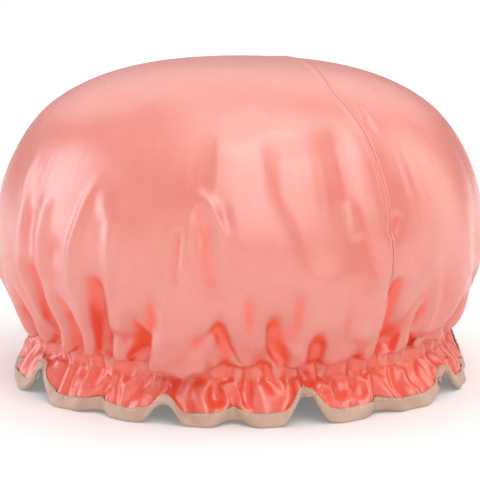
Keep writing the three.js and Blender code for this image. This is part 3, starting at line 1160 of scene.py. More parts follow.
@dataclass(frozen=True)
class ElasticFinish:
    """Knitted elastic: off-white, ribbed along its length."""

    name: str = "knitted_elastic"
    light: tuple = (0.88, 0.86, 0.81)
    deep: tuple = (0.70, 0.67, 0.60)

    def material(self) -> bpy.types.Material:
        """Makes the elastic's material."""
        bench = NodeBench(self.name)
        place = bench.add("ShaderNodeTexCoord").outputs["Object"]
        ribs = bench.add("ShaderNodeTexWave", bands_direction="Z")
        ribs.inputs["Scale"].default_value = 260.0
        ribs.inputs["Distortion"].default_value = 0.6
        bench.join(place, ribs.inputs["Vector"])
        loops = bench.noise(place, 1500.0, 2.0)
        bench.colour(bench.between(ribs.outputs["Fac"], self.deep, self.light))
        bench.roughness(loops, 0.65, 0.9)
        bench.set_shader(Sheen_Weight=0.3, Sheen_Roughness=0.5)
        bench.bump([(ribs.outputs["Fac"], 0.6, 0.0004), (loops, 0.3, 0.0002)])
        return bench.material


@dataclass(frozen=True)
class HemOpening:
    """How the soft cap follows the hinge that stands in for pulling its hem open."""

    fixed: tuple = (0.0, -0.10, 0.1)
    carried: tuple = (0.0, 0.13, 0.1)

    def follow(self, piece: bpy.types.Object) -> None:
        """Lets a piece bend from the main panel's body to the side panel's."""
        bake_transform(piece, "main", "side", start=self.fixed, end=self.carried)


@dataclass
class ClothLayer:
    """One ply of the cap as a whole cloth, before it is parted into its panels."""

    grid: ClothGrid
    name: str
    side_grain: float = 0.6
    seam_gap: float = 0.0002

    def lay(self, points: np.ndarray) -> bpy.types.Object:
        """Makes the whole cloth with its flat coordinates and its panels marked.

        Args:
            points: the cloth's points in metres.

        Returns:
            The whole cloth.
        """
        grid = self.grid
        piece = new_piece(self.name, points, grid.faces)
        mesh = piece.data
        for panel in Panel:
            mesh.materials.append(bpy.data.materials.new(panel.called(self.name + "_{}")))
        mesh.polygons.foreach_set("material_index", grid.panels)
        flat = grid.flat_points() * WEAVE_PER_METRE
        turn = self.side_grain
        turned = np.stack([
            flat[:, 0] * math.cos(turn) - flat[:, 1] * math.sin(turn),
            flat[:, 0] * math.sin(turn) + flat[:, 1] * math.cos(turn),
        ], axis=-1)
        corners = grid.faces.ravel()
        side = np.repeat(grid.panels == Panel.SIDE.value, 4)
        uv = np.where(side[:, None], turned[corners], flat[corners])
        layer = mesh.uv_layers.new(name=WEAVE)
        layer.data.foreach_set("uv", uv.astype(np.float32).ravel())
        self.keep(mesh, "below_hem", grid.distance_below_hem())
        self.keep(mesh, "turn_x", np.cos(grid.angle))
        self.keep(mesh, "turn_y", np.sin(grid.angle))
        shade_smooth(piece)
        return piece

    @staticmethod
    def keep(mesh: bpy.types.Mesh, name: str, values: np.ndarray) -> None:
        """Stores one number for each point."""
        mesh.attributes.new(name, "FLOAT", "POINT").data.foreach_set("value", values.astype(np.float32))

    @staticmethod
    def refine(piece: bpy.types.Object) -> None:
        """Subdivides a cloth once."""
        modifier = piece.modifiers.new("finer", "SUBSURF")
        modifier.levels = 1
        modifier.render_levels = 1
        apply_modifiers(piece)

    @staticmethod
    def _trim(mesh: bpy.types.Mesh, share: float) -> None:
        """Trims the raw edge back, so that it ends inside the binding's fold.

        Args:
            mesh: the whole cloth's mesh, refined.
            share: how far back, as a share of the mesh's last row.
        """
        with edited(mesh) as shape:
            moves = {}
            for point in shape.verts:
                if point.is_boundary:
                    inner = [edge.other_vert(point) for edge in point.link_edges if not edge.is_boundary]
                    moves[point] = (inner[0].co - point.co) * share
            for point, move in moves.items():
                point.co += move

    @staticmethod
    def seam_points(mesh: bpy.types.Mesh) -> np.ndarray:
        """Finds the points that both panels share.

        Args:
            mesh: the whole cloth's mesh.

        Returns:
            True for each point on the seam.
        """
        count = len(mesh.vertices)
        touched = np.zeros((2, count), bool)
        for face in mesh.polygons:
            touched[face.material_index, list(face.vertices)] = True
        return touched[0] & touched[1]

    def part(self, piece: bpy.types.Object, trimmed: float, allowance: float,
             thickness: float) -> dict[Panel, bpy.types.Object]:
        """Trims the whole cloth, parts it along the seam, turns each panel's edge under and thickens it.

        Args:
            piece: the whole cloth.
            trimmed: how far back the raw edge is trimmed, as a share of the mesh's last row.
            allowance: how far the turned edge goes inwards, or outwards where negative.
            thickness: the panels' thickness.

        Returns:
            The two panels.
        """
        self._trim(piece.data, trimmed)
        on_seam = self.seam_points(piece.data)
        self.keep(piece.data, "on_seam", on_seam.astype(float))
        make_active(piece)
        bpy.ops.object.mode_set(mode="EDIT")
        bpy.ops.mesh.select_all(action="SELECT")
        bpy.ops.mesh.separate(type="MATERIAL")
        bpy.ops.object.mode_set(mode="OBJECT")
        panels = {}
        for cut in list(bpy.context.selected_objects):
            marker = cut.data.materials[cut.data.polygons[0].material_index].name
            panel = Panel.SIDE if marker.endswith("side") else Panel.MAIN
            panels[panel] = cut
            cut.name = panel.called(self.name + "_{}_panel")
            cut.data.name = cut.name
            cut.data.materials.clear()
            cut.data.polygons.foreach_set("material_index", np.zeros(len(cut.data.polygons), np.int32))
            self._turn_under(cut.data, allowance)
        for cut in panels.values():
            thicken(cut, thickness)
        return panels

    def _turn_under(self, mesh: bpy.types.Mesh, allowance: float) -> None:
        """Folds a panel's seam edge under, a small gap away from the seam line.

        Args:
            mesh: the panel's mesh.
            allowance: how far the turned edge goes inwards.
        """
        with edited(mesh) as shape:
            mark = shape.verts.layers.float["on_seam"]
            rim = [edge for edge in shape.edges
                   if edge.is_boundary and edge.verts[0][mark] > 0.5 and edge.verts[1][mark] > 0.5]
            rim_points = {point for edge in rim for point in edge.verts}
            moves = {}
            for point in rim_points:
                inner = [edge.other_vert(point) for edge in point.link_edges if edge not in rim]
                inner = [other for other in inner if other not in rim_points]
                if inner:
                    way = sum((other.co - point.co for other in inner), Vector()) / len(inner)
                    moves[point] = way.normalized() * self.seam_gap
            for point, move in moves.items():
                point.co += move
            made = bmesh.ops.extrude_edge_only(shape, edges=rim)["geom"]
            new_points = [item for item in made if isinstance(item, bmesh.types.BMVert)]
            fresh = set(new_points)
            for point in new_points:
                others = [edge.other_vert(point) for edge in point.link_edges]
                origin = next(other for other in others if other not in fresh)
                point.co = origin.co - origin.normal * allowance

    @staticmethod
    def dress(panels: dict[Panel, bpy.types.Object], materials: dict[Panel, bpy.types.Material],
              areas: dict[Panel, float], node: str, slot: str, opening: HemOpening) -> None:
        """Gives the panels their materials and their nodes.

        Args:
            panels: the panels.
            materials: the material of each.
            areas: not used.
            node: the pattern of the nodes' names.
            slot: not used.
            opening: how the panels follow the hem's hinge.
        """
        for panel, flat in CUT_SIZES.items():
            piece = panels[panel]
            stand_for(piece, materials[panel], panel.called(node))
            opening.follow(piece)


@dataclass(frozen=True)
class Creases:
    """A run of short creases round the hem, unevenly spaced and wider the further they run from it."""

    count: int
    depth: float
    half: tuple
    upper: tuple
    lower: tuple
    seed: int
    middle: float = 0.0
    widening: float = 0.010

    def relief(self, angle: np.ndarray, below: np.ndarray, radius: float) -> np.ndarray:
        """Draws the creases into the cloth.

        Args:
            angle: each point's angle round the cap.
            below: each point's distance below the middle of the elastic.
            radius: the hem's radius.

        Returns:
            The height at each point, in metres.
        """
        chance = np.random.default_rng(self.seed)
        near = np.abs(below) < 2.2 * max(self.upper[1], self.lower[1])
        turn = angle[near]
        down = below[near]
        total = np.zeros(len(turn))
        for number in range(self.count):
            place = FULL_TURN * (number + chance.uniform(-0.45, 0.45)) / self.count
            half = chance.uniform(*self.half)
            depth = self.depth * chance.uniform(0.3, 1.0)
            upper = chance.uniform(*self.upper)
            lower = chance.uniform(*self.lower)
            lean = chance.uniform(-0.4, 0.4)
            apart = angle_apart(turn, place) * radius - lean * down
            from_middle = down - self.middle
            fade = bell(from_middle / np.where(from_middle < 0.0, upper, lower))
            total -= depth * fade * bell(apart / (half * (1.0 + np.abs(down) / self.widening)))
        relief = np.zeros(len(angle))
        relief[near] = total
        return relief


@dataclass
class OuterCover:
    """The satin: two panels joined by the crown seam, gathered by the elastic into a ruffle."""

    grid: ClothGrid
    cloth: CutCloth
    thickness: float = 0.00035
    puckers: Creases = Creases(128, 0.0021, (0.0011, 0.0021), (0.005, 0.016), (0.006, 0.018), seed=5)
    fans: Creases = Creases(58, 0.0024, (0.0011, 0.0022), (0.014, 0.036), (0.003, 0.005), seed=21)
    pleats: Creases = Creases(
        44, 0.0036, (0.0016, 0.0032), (0.004, 0.007), (0.005, 0.009), seed=9, middle=0.010)
    pleat_depth: float = 0.0004
    fold_ease: float = 0.75
    fold_rounds: int = 7
    stitch_pull: float = 0.0004
    roll_drop: float = 0.0018
    lip: float = 0.00055
    # Painted shade in the folds: the fold depth in metres that gets the full share.
    full_hollow: float = 0.0011
    # Painted shade towards the hem and on the ruffle, as shares of the painted shade colour.
    hem_tone: float = 0.31
    ruffle_tone: float = 0.34
    seam_allowance: float = 0.0010
    edge_trim: float = 0.93
    crown_rounds: int = 24
    ruffle_end: float = 0.019
    row_offset: float = 0.004
    lip_width: float = 0.0016
    channel_half: float = 0.0048
    grain_main: float = 0.35
    grain_side: float = 0.9
    points: np.ndarray = field(init=False)
    surface: BVHTree = field(init=False)
    seam_line: np.ndarray = field(init=False)
    channel_radii: np.ndarray = field(init=False)

    def build(self, draped: np.ndarray) -> dict[Panel, bpy.types.Object]:
        """Makes the satin's two panels from the draped cloth.

        Args:
            draped: the draped cloth's points.

        Returns:
            The panels.
        """
        layer = ClothLayer(self.grid, "satin")
        whole = layer.lay(draped)
        layer.refine(whole)
        self._ease(whole.data)
        self._work_in(whole.data, layer)
        self.points = points_of(whole.data)[:len(draped)]
        self._measure_channel(whole.data)
        self.surface = surface_of(points_of(whole.data), faces_of(whole.data))
        seam = layer.seam_points(whole.data)
        self.seam_line = self._in_order(points_of(whole.data)[seam])
        return layer.part(whole, self.edge_trim, self.seam_allowance, self.thickness)

    def _measure_channel(self, mesh: bpy.types.Mesh, steps: int = 720, spread: int = 3) -> None:
        """Notes how near the axis the satin comes along the elastic, for what lies inside it.

        Args:
            mesh: the whole cloth's mesh, refined and worked.
            steps: how many places round the cap.
            spread: how many places on either side count.
        """
        points = points_of(mesh)
        along = points[np.abs(attribute_of(mesh, "below_hem")) < self.channel_half]
        place = np.floor((np.arctan2(along[:, 1], along[:, 0]) / FULL_TURN % 1.0) * steps).astype(int)
        nearest = np.full(steps, np.inf)
        np.minimum.at(nearest, place, np.hypot(along[:, 0], along[:, 1]))
        shifts = range(-spread, spread + 1)
        self.channel_radii = np.min([np.roll(nearest, shift) for shift in shifts], axis=0)

    def inside_channel(self, turn: np.ndarray, depth: float) -> np.ndarray:
        """The radius that clears the satin along the elastic by a depth, at angles round the cap."""
        steps = len(self.channel_radii)
        middles = (np.arange(steps) + 0.5) * 2 * math.pi / steps
        return np.interp(turn, middles, self.channel_radii, period=FULL_TURN) - depth

    def _ease(self, mesh: bpy.types.Mesh, reach: float = 0.11) -> None:
        """Smooths the crown, where the cloth lies without folds, and rounds the folds above the elastic.

        Args:
            mesh: the whole cloth's mesh, refined.
            reach: how far the crown goes from the apex, in metres.
        """
        below = attribute_of(mesh, "below_hem")
        crown = unit((reach - self.grid.hem - below) / 0.015)
        folds = unit((-below - 0.005) / 0.006) * unit((0.080 + below) / 0.02)
        for share, rounds in ((crown, self.crown_rounds), (self.fold_ease * folds, self.fold_rounds)):
            share = share[:, None]
            set_points(mesh, (1 - share) * points_of(mesh) + share * smoothed_points(mesh, rounds))

    def _work_in(self, mesh: bpy.types.Mesh, layer: ClothLayer) -> None:
        """Works the creases, the pressed folds, the stitches' pull and the seam's lip into the cloth, and
        keeps the share of painted shade for the satin's colour.

        Args:
            mesh: the whole cloth's mesh, refined.
            layer: the ply that it belongs to.
        """
        points = points_of(mesh)
        normals = normals_of(mesh)
        below = attribute_of(mesh, "below_hem")
        angle = np.arctan2(attribute_of(mesh, "turn_y"), attribute_of(mesh, "turn_x"))
        slant = 55.0 * below * np.sin(9 * angle + 0.7)
        broad = np.sin(46 * angle + 3.6 * np.sin(6 * angle + 0.6) + 2.0 * slant)
        on_ruffle = unit(below / 0.004) * unit((self.ruffle_end - below) / 0.006)
        radius = self.grid.outline.hem_radius
        relief = sum(run.relief(angle, below, radius) for run in (self.puckers, self.fans, self.pleats))
        relief = relief * unit((self.ruffle_end - below) / 0.004)
        relief = relief + self.pleat_depth * on_ruffle * broad
        rows = bell((np.abs(below) - self.row_offset) / 0.0013)
        relief = relief - self.stitch_pull * rows
        above = unit((-below - self.row_offset) / 0.007)
        folds = PressedFolds(self.grid.outline).relief(angle, self.grid.hem + np.minimum(below, 0.0))
        relief = relief + folds * above
        apart = self._seam_distance(points, layer.seam_points(mesh))
        sides = self._panel_share(mesh)
        lip = self.lip * bell((apart - self.lip_width) / self.lip_width)
        relief = relief + np.where(sides < 0.5, lip, -0.5 * lip)
        set_points(mesh, points + normals * relief[:, None] + self._roll(angle, below))
        # Painted shade: a share of deeper orange-red that grows with the fold depth, towards the hem and on
        # the ruffle, kept on the cloth for the satin's colour.
        near_hem = unit(1.0 + below / 0.05) ** 1.5
        tone = self.hem_tone * near_hem + self.ruffle_tone * (below > 0.003)
        hollow = np.maximum(self._hollows(mesh), 0.0) / self.full_hollow
        share = unit(hollow * np.clip(1.2 + below / 0.10, 0.4, 1.0) + tone)
        layer.keep(mesh, "hollow", share * 0.95)

    def _roll(self, angle: np.ndarray, below: np.ndarray) -> np.ndarray:
        """Lets the full cloth roll over the elastic, more in some places than in others.

        Args:
            angle: each point's angle round the cap.
            below: each point's distance below the middle of the elastic.

        Returns:
            Each point's move, in metres.
        """
        uneven = 0.6 + 0.25 * np.sin(7 * angle + 1.3) + 0.25 * np.sin(11 * angle + 0.4)
        share = unit((-below - 0.0045) / 0.004) * bell((-below - 0.0105) / 0.009)
        fall = self.roll_drop * np.clip(uneven, 0.1, 1.0) * share
        return around(0.55 * fall, angle, -fall)

    @staticmethod
    def _hollows(mesh: bpy.types.Mesh, rounds: int = 40) -> np.ndarray:
        """Measures how far each point lies in a fold, against the smoothed cloth.

        Args:
            mesh: the cloth's mesh.
            rounds: how often the cloth is smoothed.

        Returns:
            The depth at each point in metres, negative on ridges.
        """
        points = points_of(mesh)
        smooth = smoothed_points(mesh, rounds)
        return ((smooth - points) * normals_of(mesh)).sum(axis=1)

    @staticmethod
    def _panel_share(mesh: bpy.types.Mesh) -> np.ndarray:
        """Says which panel each point lies in."""
        share = np.zeros(len(mesh.vertices))
        for face in mesh.polygons:
            share[list(face.vertices)] = face.material_index
        return share

    @staticmethod
    def _seam_distance(points: np.ndarray, seam: np.ndarray) -> np.ndarray:
        """Each point's distance from the nearest point of the seam.

        Args:
            points: all points.
            seam: True for each point on the seam.

        Returns:
            The distances in metres.
        """
        tree = KDTree(int(seam.sum()))
        for number, point in enumerate(points[seam]):
            tree.insert(point, number)
        tree.balance()
        return np.array([tree.find(point)[2] for point in points])

    @staticmethod
    def _in_order(points: np.ndarray) -> np.ndarray:
        """Puts the seam's points in order from one end of the hem over the crown to the other."""
        start = int(np.argmin(points[:, 2] + 0.5 * points[:, 0]))
        left = list(range(len(points)))
        order = [left.pop(start)]
        while left:
            apart = np.linalg.norm(points[left] - points[order[-1]], axis=1)
            order.append(left.pop(int(np.argmin(apart))))
        return points[order]

    def dress(self, panels: dict[Panel, bpy.types.Object], opening: HemOpening) -> None:
        """Gives the panels their finish and their nodes.

        Args:
            panels: the satin panels.
            opening: how they follow the hem's hinge.
        """
        materials = {}
        for panel, grain in ((Panel.MAIN, self.grain_main), (Panel.SIDE, self.grain_side)):
            materials[panel] = SatinFinish(panel.called("coral_satin_{}"), grain).material()
        ClothLayer.dress(panels, materials, self.cut_areas(), "outer_{}_panel", "satin", opening)

    def cut_areas(self) -> dict[Panel, float]:
        """The flat area that each panel was cut with, in square metres."""
        points = self.cloth.cut_points()
        corners = points[self.grid.faces]
        across = np.cross(corners[:, 2] - corners[:, 0], corners[:, 3] - corners[:, 1])
        area = 0.5 * np.linalg.norm(across, axis=1)
        return {panel: float(area[self.grid.panels == panel.value].sum()) for panel in Panel}


@dataclass
class FilmLining:
    """The waterproof film inside the satin, sewn from the same two cuts."""

    grid: ClothGrid
    depth: float = 0.0012
    channel_depth: float = 0.0022
    behind_elastic: float = 0.0017
    thickness: float = 0.0002
    ruffle_depth: float = 0.0022
    seam_allowance: float = 0.0006
    edge_trim: float = 0.96
    ruffle_middle: float = 0.011
    reach: float = 0.006
    elastic_half: float = 0.0045
    slope: float = 1.5
    least: float = 0.7
    points: np.ndarray = field(init=False)
    surface: BVHTree = field(init=False)
    seam_line: np.ndarray = field(init=False)

    def _kept_inside(self, point: np.ndarray, cover: BVHTree) -> np.ndarray:
        """Keeps a point of the film a little inside the satin.

        Args:
            point: the point.
            cover: the satin's surface.

        Returns:
            The point, moved if it was too near the satin or outside it.
        """
        near, normal, _, _ = cover.find_nearest(Vector(point))
        if (Vector(point) - near).dot(normal) < -self.least * self.depth:
            return point
        return np.array(near - normal * self.depth)

    def _inside_folds(self, inner: np.ndarray, satin: np.ndarray, first: int = 22,
                      spread: int = 3) -> np.ndarray:
        """Keeps the lower film nearer the axis than the satin's folds beside it.

        Args:
            inner: the film's points.
            satin: the satin's points.
            first: the first row below the crown's patch that is looked at.
            spread: how many rows above and below count.

        Returns:
            The film's points, moved inwards where a fold hangs over them.
        """
        rows = np.array(self.grid.rings[first:self.grid.side_rows])
        reach = np.hypot(satin[rows, 0], satin[rows, 1])
        padded = np.pad(reach, ((spread, spread), (0, 0)), mode="edge")
        least = np.min([padded[shift:shift + len(rows)] for shift in range(2 * spread + 1)], axis=0)
        least = np.min([np.roll(least, shift, axis=1) for shift in (-1, 0, 1)], axis=0)
        least = least - self.least * self.depth
        points = inner.copy()
        share = np.minimum(least / np.hypot(inner[rows, 0], inner[rows, 1]), 1.0)
        ease = unit(np.arange(len(rows)) / 6.0)[:, None]
        points[rows, :2] = inner[rows, :2] * (1.0 - ease * (1.0 - share))[:, :, None]
        return points

    def build(self, cover: OuterCover) -> dict[Panel, bpy.types.Object]:
        """Makes the film's two panels a little inside the satin, and behind the elastic.

        Args:
            cover: the finished satin.

        Returns:
            The panels.
        """
        satin = cover.points
        layer = ClothLayer(self.grid, "film")
        whole = layer.lay(satin)
        below = self.grid.distance_below_hem()
        deeper = (self.channel_depth - self.depth) * bell(below / self.reach)
        deeper = deeper + self.ruffle_depth * bell((below - self.ruffle_middle) / self.reach)
        inner = satin - normals_of(whole.data) * (self.depth + deeper)[:, None]
        set_points(whole.data, self._inside_folds(inner, satin))
        layer.refine(whole)
        points = points_of(whole.data)
        for _ in range(3):
            points = np.array([self._kept_inside(point, cover.surface) for point in points])
        turn = np.arctan2(points[:, 1], points[:, 0])
        beside = np.maximum(np.abs(attribute_of(whole.data, "below_hem")) - self.elastic_half, 0.0)
        most = cover.inside_channel(turn, self.behind_elastic) + self.slope * beside
        inwards = np.minimum(most / np.hypot(points[:, 0], points[:, 1]).clip(1e-6), 1.0)
        inwards = np.where(beside < self.reach, inwards, 1.0)
        points[:, :2] = points[:, :2] * inwards[:, None]
        set_points(whole.data, points)
        self.points = points[:len(satin)]
        self.surface = surface_of(self.points, self.grid.faces)
        self.seam_line = self.points[self.grid.seam]
        return layer.part(whole, self.edge_trim, -self.seam_allowance, self.thickness)

    @staticmethod
    def dress(panels: dict[Panel, bpy.types.Object], areas: dict[Panel, float], opening: HemOpening) -> None:
        """Gives the panels their finish and their nodes.

        Args:
            panels: the film panels.
            areas: the flat area of each cut.
            opening: how they follow the hem's hinge.
        """
        film = FilmFinish().material()
        materials = {panel: film for panel in Panel}
        ClothLayer.dress(panels, materials, areas, "lining_{}_panel", "lining", opening)


@dataclass
class ElasticBand:
    """The flat elastic in the channel between the satin and the film."""

    grid: ClothGrid
    width: float = 0.006
    thickness: float = 0.0007
    depth: float = 0.0006
    edge_rounding: float = 0.0002
    columns: int = 240

    def build(self, cover: OuterCover) -> bpy.types.Object:
        """Makes the band from an open cylinder that follows the gathered cloth.

        Args:
            cover: the finished satin.

        Returns:
            The band.
        """
        deselect_all()
        bpy.ops.mesh.primitive_cylinder_add(
            vertices=self.columns, radius=self.grid.outline.hem_radius, depth=self.width,
            end_fill_type="NOTHING", location=(0.0, 0.0, self.grid.outline.hem_height))
        band = bpy.context.object
        band.name = "elastic_in_channel"
        bpy.ops.object.transform_apply(location=True, rotation=True, scale=True)
        bpy.ops.object.mode_set(mode="EDIT")
        bpy.ops.mesh.select_all(action="SELECT")
        bpy.ops.mesh.subdivide(number_cuts=1)
        bpy.ops.mesh.normals_make_consistent(inside=False)
        bpy.ops.object.mode_set(mode="OBJECT")
        points = points_of(band.data)
        turn = np.arctan2(points[:, 1], points[:, 0])
        set_points(band.data, around(cover.inside_channel(turn, self.depth), turn, points[:, 2]))
        thicken(band, self.thickness, self.edge_rounding)
        return band

    @staticmethod
    def dress(band: bpy.types.Object, opening: HemOpening) -> None:
        """Gives the band its finish and its node."""
        stand_for(band, ElasticFinish().material(), "elastic_band")
        opening.follow(band)


@dataclass
class EdgeBinding:
    """The bias tape that is folded round the ruffle's raw edge."""

    grid: ClothGrid
    width: float = 0.0070
    stand_off: float = 0.0011
    inner_off: float = 0.0018
    wrap: float = 0.0006
    edge_radius: float = 0.0008
    turn_radius: float = 0.0033
    thickness: float = 0.0003
    fold_allowance: float = 0.004
    outer_lines: int = 5
    places: np.ndarray = field(init=False)
    outward: np.ndarray = field(init=False)

    def build(self, cover: OuterCover) -> bpy.types.Object:
        """Makes the tape as a strip that goes down outside, round the edge and up inside.

        Args:
            cover: the finished satin.

        Returns:
            The tape.
        """
        grid = self.grid
        draped = cover.points
        helper = new_piece("binding_helper", draped, grid.faces)
        normals = normals_of(helper.data)
        remove_piece(helper)
        rows = grid.rings[grid.side_rows:]
        self.places = draped[rows]
        self.outward = normals[rows]
        lines = np.array([self.line(up, off, drop) for up, off, drop in self._section()])
        count, columns = lines.shape[:2]
        quads = ring_quads(np.arange(count * columns).reshape(count, columns))
        tape = new_piece("edge_tape", lines.reshape(-1, 3), quads)
        self._flatten(tape.data, lines)
        outer = np.repeat(np.arange(count) < self.outer_lines, columns)
        ClothLayer.keep(tape.data, "outer_leg", outer.astype(float))
        ClothLayer.refine(tape)
        self._clear(tape.data, cover.surface)
        thicken(tape, self.thickness)
        return tape

    def _section(self) -> list[tuple[float, float, float]]:
        """Draws the folded tape's section, from the top of its outer leg round the edge to the inner leg's.

        Returns:
            Each corner's distance up from the raw edge, outwards from the cloth and past the edge.
        """
        width = self.width
        near_top = width - self.edge_radius
        turn = self.turn_radius
        out = self.stand_off
        inside = -self.inner_off
        section = [(width, 0.15 * out, 0.0), (width, 0.8 * out, 0.0), (near_top, out, 0.0)]
        section += [(width - turn, 1.1 * out, 0.0), (turn, 1.1 * out, 0.0), (0.0, out, 0.0)]
        section += [(0.0, 0.45 * out, self.wrap), (0.0, 0.55 * inside, self.wrap), (0.0, inside, 0.0)]
        section += [(turn, inside, 0.0), (width - turn, inside, 0.0), (near_top, inside, 0.0)]
        return section + [(width, 0.9 * inside, 0.0), (width, 0.65 * inside, 0.0)]

    @staticmethod
    def _clear(mesh: bpy.types.Mesh, satin: BVHTree, gap: float = 0.0006) -> None:
        """Lifts the tape's outer leg off the satin where a tight fold would come through it.

        Args:
            mesh: the tape's mesh.
            satin: the satin's surface.
            gap: the least distance from the satin.
        """
        points = points_of(mesh)
        outer = attribute_of(mesh, "outer_leg") > 0.99
        for number in np.flatnonzero(outer):
            near, normal, _, _ = satin.find_nearest(Vector(points[number]))
            off = (Vector(points[number]) - near).dot(normal)
            if off < gap:
                points[number] = np.array(Vector(points[number]) + normal * (gap - off))
        set_points(mesh, points)

    def line(self, up: float, off: float, drop: float = 0.0) -> np.ndarray:
        """Follows the ruffle round the cap at a distance from its raw edge, off its surface.

        Args:
            up: distance up the cloth from the raw edge.
            off: distance outwards from the cloth.
            drop: distance past the raw edge, down the cloth.

        Returns:
            One point for each column.
        """
        places = self.places[::-1]
        outwards = self.outward[::-1]
        steps = np.linalg.norm(np.diff(places, axis=0), axis=2)
        reach = np.concatenate([np.zeros((1, steps.shape[1])), np.cumsum(steps, axis=0)])
        columns = np.arange(steps.shape[1])
        lower = np.clip((reach <= up).sum(axis=0) - 1, 0, len(steps) - 1)
        share = ((up - reach[lower, columns]) / steps[lower, columns])[:, None]
        place = (1 - share) * places[lower, columns] + share * places[lower + 1, columns]
        outward = (1 - share) * outwards[lower, columns] + share * outwards[lower + 1, columns]
        down = places[lower, columns] - places[lower + 1, columns]
        down = down / np.linalg.norm(down, axis=1)[:, None]
        return place + self._evened(outward) * off + down * drop

    @staticmethod
    def _evened(outward: np.ndarray) -> np.ndarray:
        """Evens out the directions from column to column."""
        even = 0.5 * outward + 0.25 * np.roll(outward, 1, axis=0) + 0.25 * np.roll(outward, -1, axis=0)
        return even / np.linalg.norm(even, axis=1)[:, None]

    def _flatten(self, mesh: bpy.types.Mesh, lines: np.ndarray) -> None:
        """Gives the tape flat coordinates along and across it.

        Args:
            mesh: the tape's mesh.
            lines: its points by line and column.
        """
        count, columns = lines.shape[:2]
        middle = lines[self.outer_lines - 1]
        along = running_length(np.concatenate([middle, middle[:1]]))
        across = running_length(lines[:, 0])
        uv = []
        for step in range(count - 1):
            for column in range(columns):
                left, right = along[column], along[column + 1]
                upper, lower = across[step], across[step + 1]
                uv += [left, upper, left, lower, right, lower, right, upper]
        weave = WEAVE_PER_METRE * np.array(uv, np.float32)
        mesh.uv_layers.new(name=WEAVE).data.foreach_set("uv", weave)

    def dress(self, tape: bpy.types.Object, length: float, opening: HemOpening) -> None:
        """Gives the tape its finish and its node.

        Args:
            tape: the folded tape.
            length: not used.
            opening: how it follows the hem's hinge.
        """
        stand_for(tape, TapeFinish().material(), "edge_binding")
        opening.follow(tape)


@dataclass
class StitchRow:
    """A row of single stitches along a line of the cloth."""

    name: str
    node: str
    finish: ThreadFinish
    face: Face = Face.OUTSIDE
    lift: float = 0.00010
    closed: bool = True
    radius: float = 0.00024
    pitch: float = 0.0031
    length: float = 0.0025

    def build(self, path: np.ndarray, surface: BVHTree) -> bpy.types.Object:
        """Sews the row: one stitch is modelled and copied along the line.

        Args:
            path: the line's points.
            surface: the cloth that the stitches lie on.

        Returns:
            The row of stitches.
        """
        shape, sides = self._one_stitch()
        line = np.concatenate([path, path[:1]]) if self.closed else path
        reach = running_length(line)
        count = int(reach[-1] / self.pitch)
        middles = (np.arange(count) + 0.5) * reach[-1] / count
        points = []
        faces = []
        for middle in middles:
            first, last = (self._at(line, reach, middle + step * self.length / 2) for step in (-1, 1))
            centre = Vector((first + last) / 2)
            near, normal, _, _ = surface.find_nearest(centre)
            outward = normal * self.face.value
            along = Vector(last - first).normalized()
            along = (along - outward * along.dot(outward)).normalized()
            across = outward.cross(along)
            base = near + outward * self.lift
            start = len(points)
            for x, y, z in shape:
                points.append(base + along * x + across * y + outward * z)
            faces += [tuple(start + number for number in side) for side in sides]
        row = new_piece(self.name, np.array([tuple(point) for point in points]), faces)
        shade_smooth(row)
        return row

    def _one_stitch(self) -> tuple[np.ndarray, list]:
        """Models one stitch: a slim rounded thread whose ends dip into the cloth.

        Returns:
            Its points, along X with +Z off the cloth, and its faces.
        """
        deselect_all()
        lying = (0.0, math.pi / 2, 0.0)
        bpy.ops.mesh.primitive_uv_sphere_add(segments=6, ring_count=5, radius=1.0, rotation=lying)
        model = bpy.context.object
        bpy.ops.object.transform_apply(location=True, rotation=True, scale=True)
        shape = points_of(model.data)
        shape[:, 2] = shape[:, 2] * self.radius - 1.6 * self.radius * shape[:, 0] ** 4
        shape[:, 1] = shape[:, 1] * self.radius
        shape[:, 0] = shape[:, 0] * self.length / 2
        sides = faces_of(model.data)
        remove_piece(model)
        return shape, sides

    @staticmethod
    def _at(line: np.ndarray, reach: np.ndarray, place: float) -> np.ndarray:
        """The point at a length along a line."""
        return np.array([np.interp(place, reach, line[:, axis]) for axis in range(3)])

    def dress(self, row: bpy.types.Object, opening: HemOpening) -> None:
        """Gives the row its thread, its node and its movement."""
        stand_for(row, self.finish.material(), self.node)
        opening.follow(row)


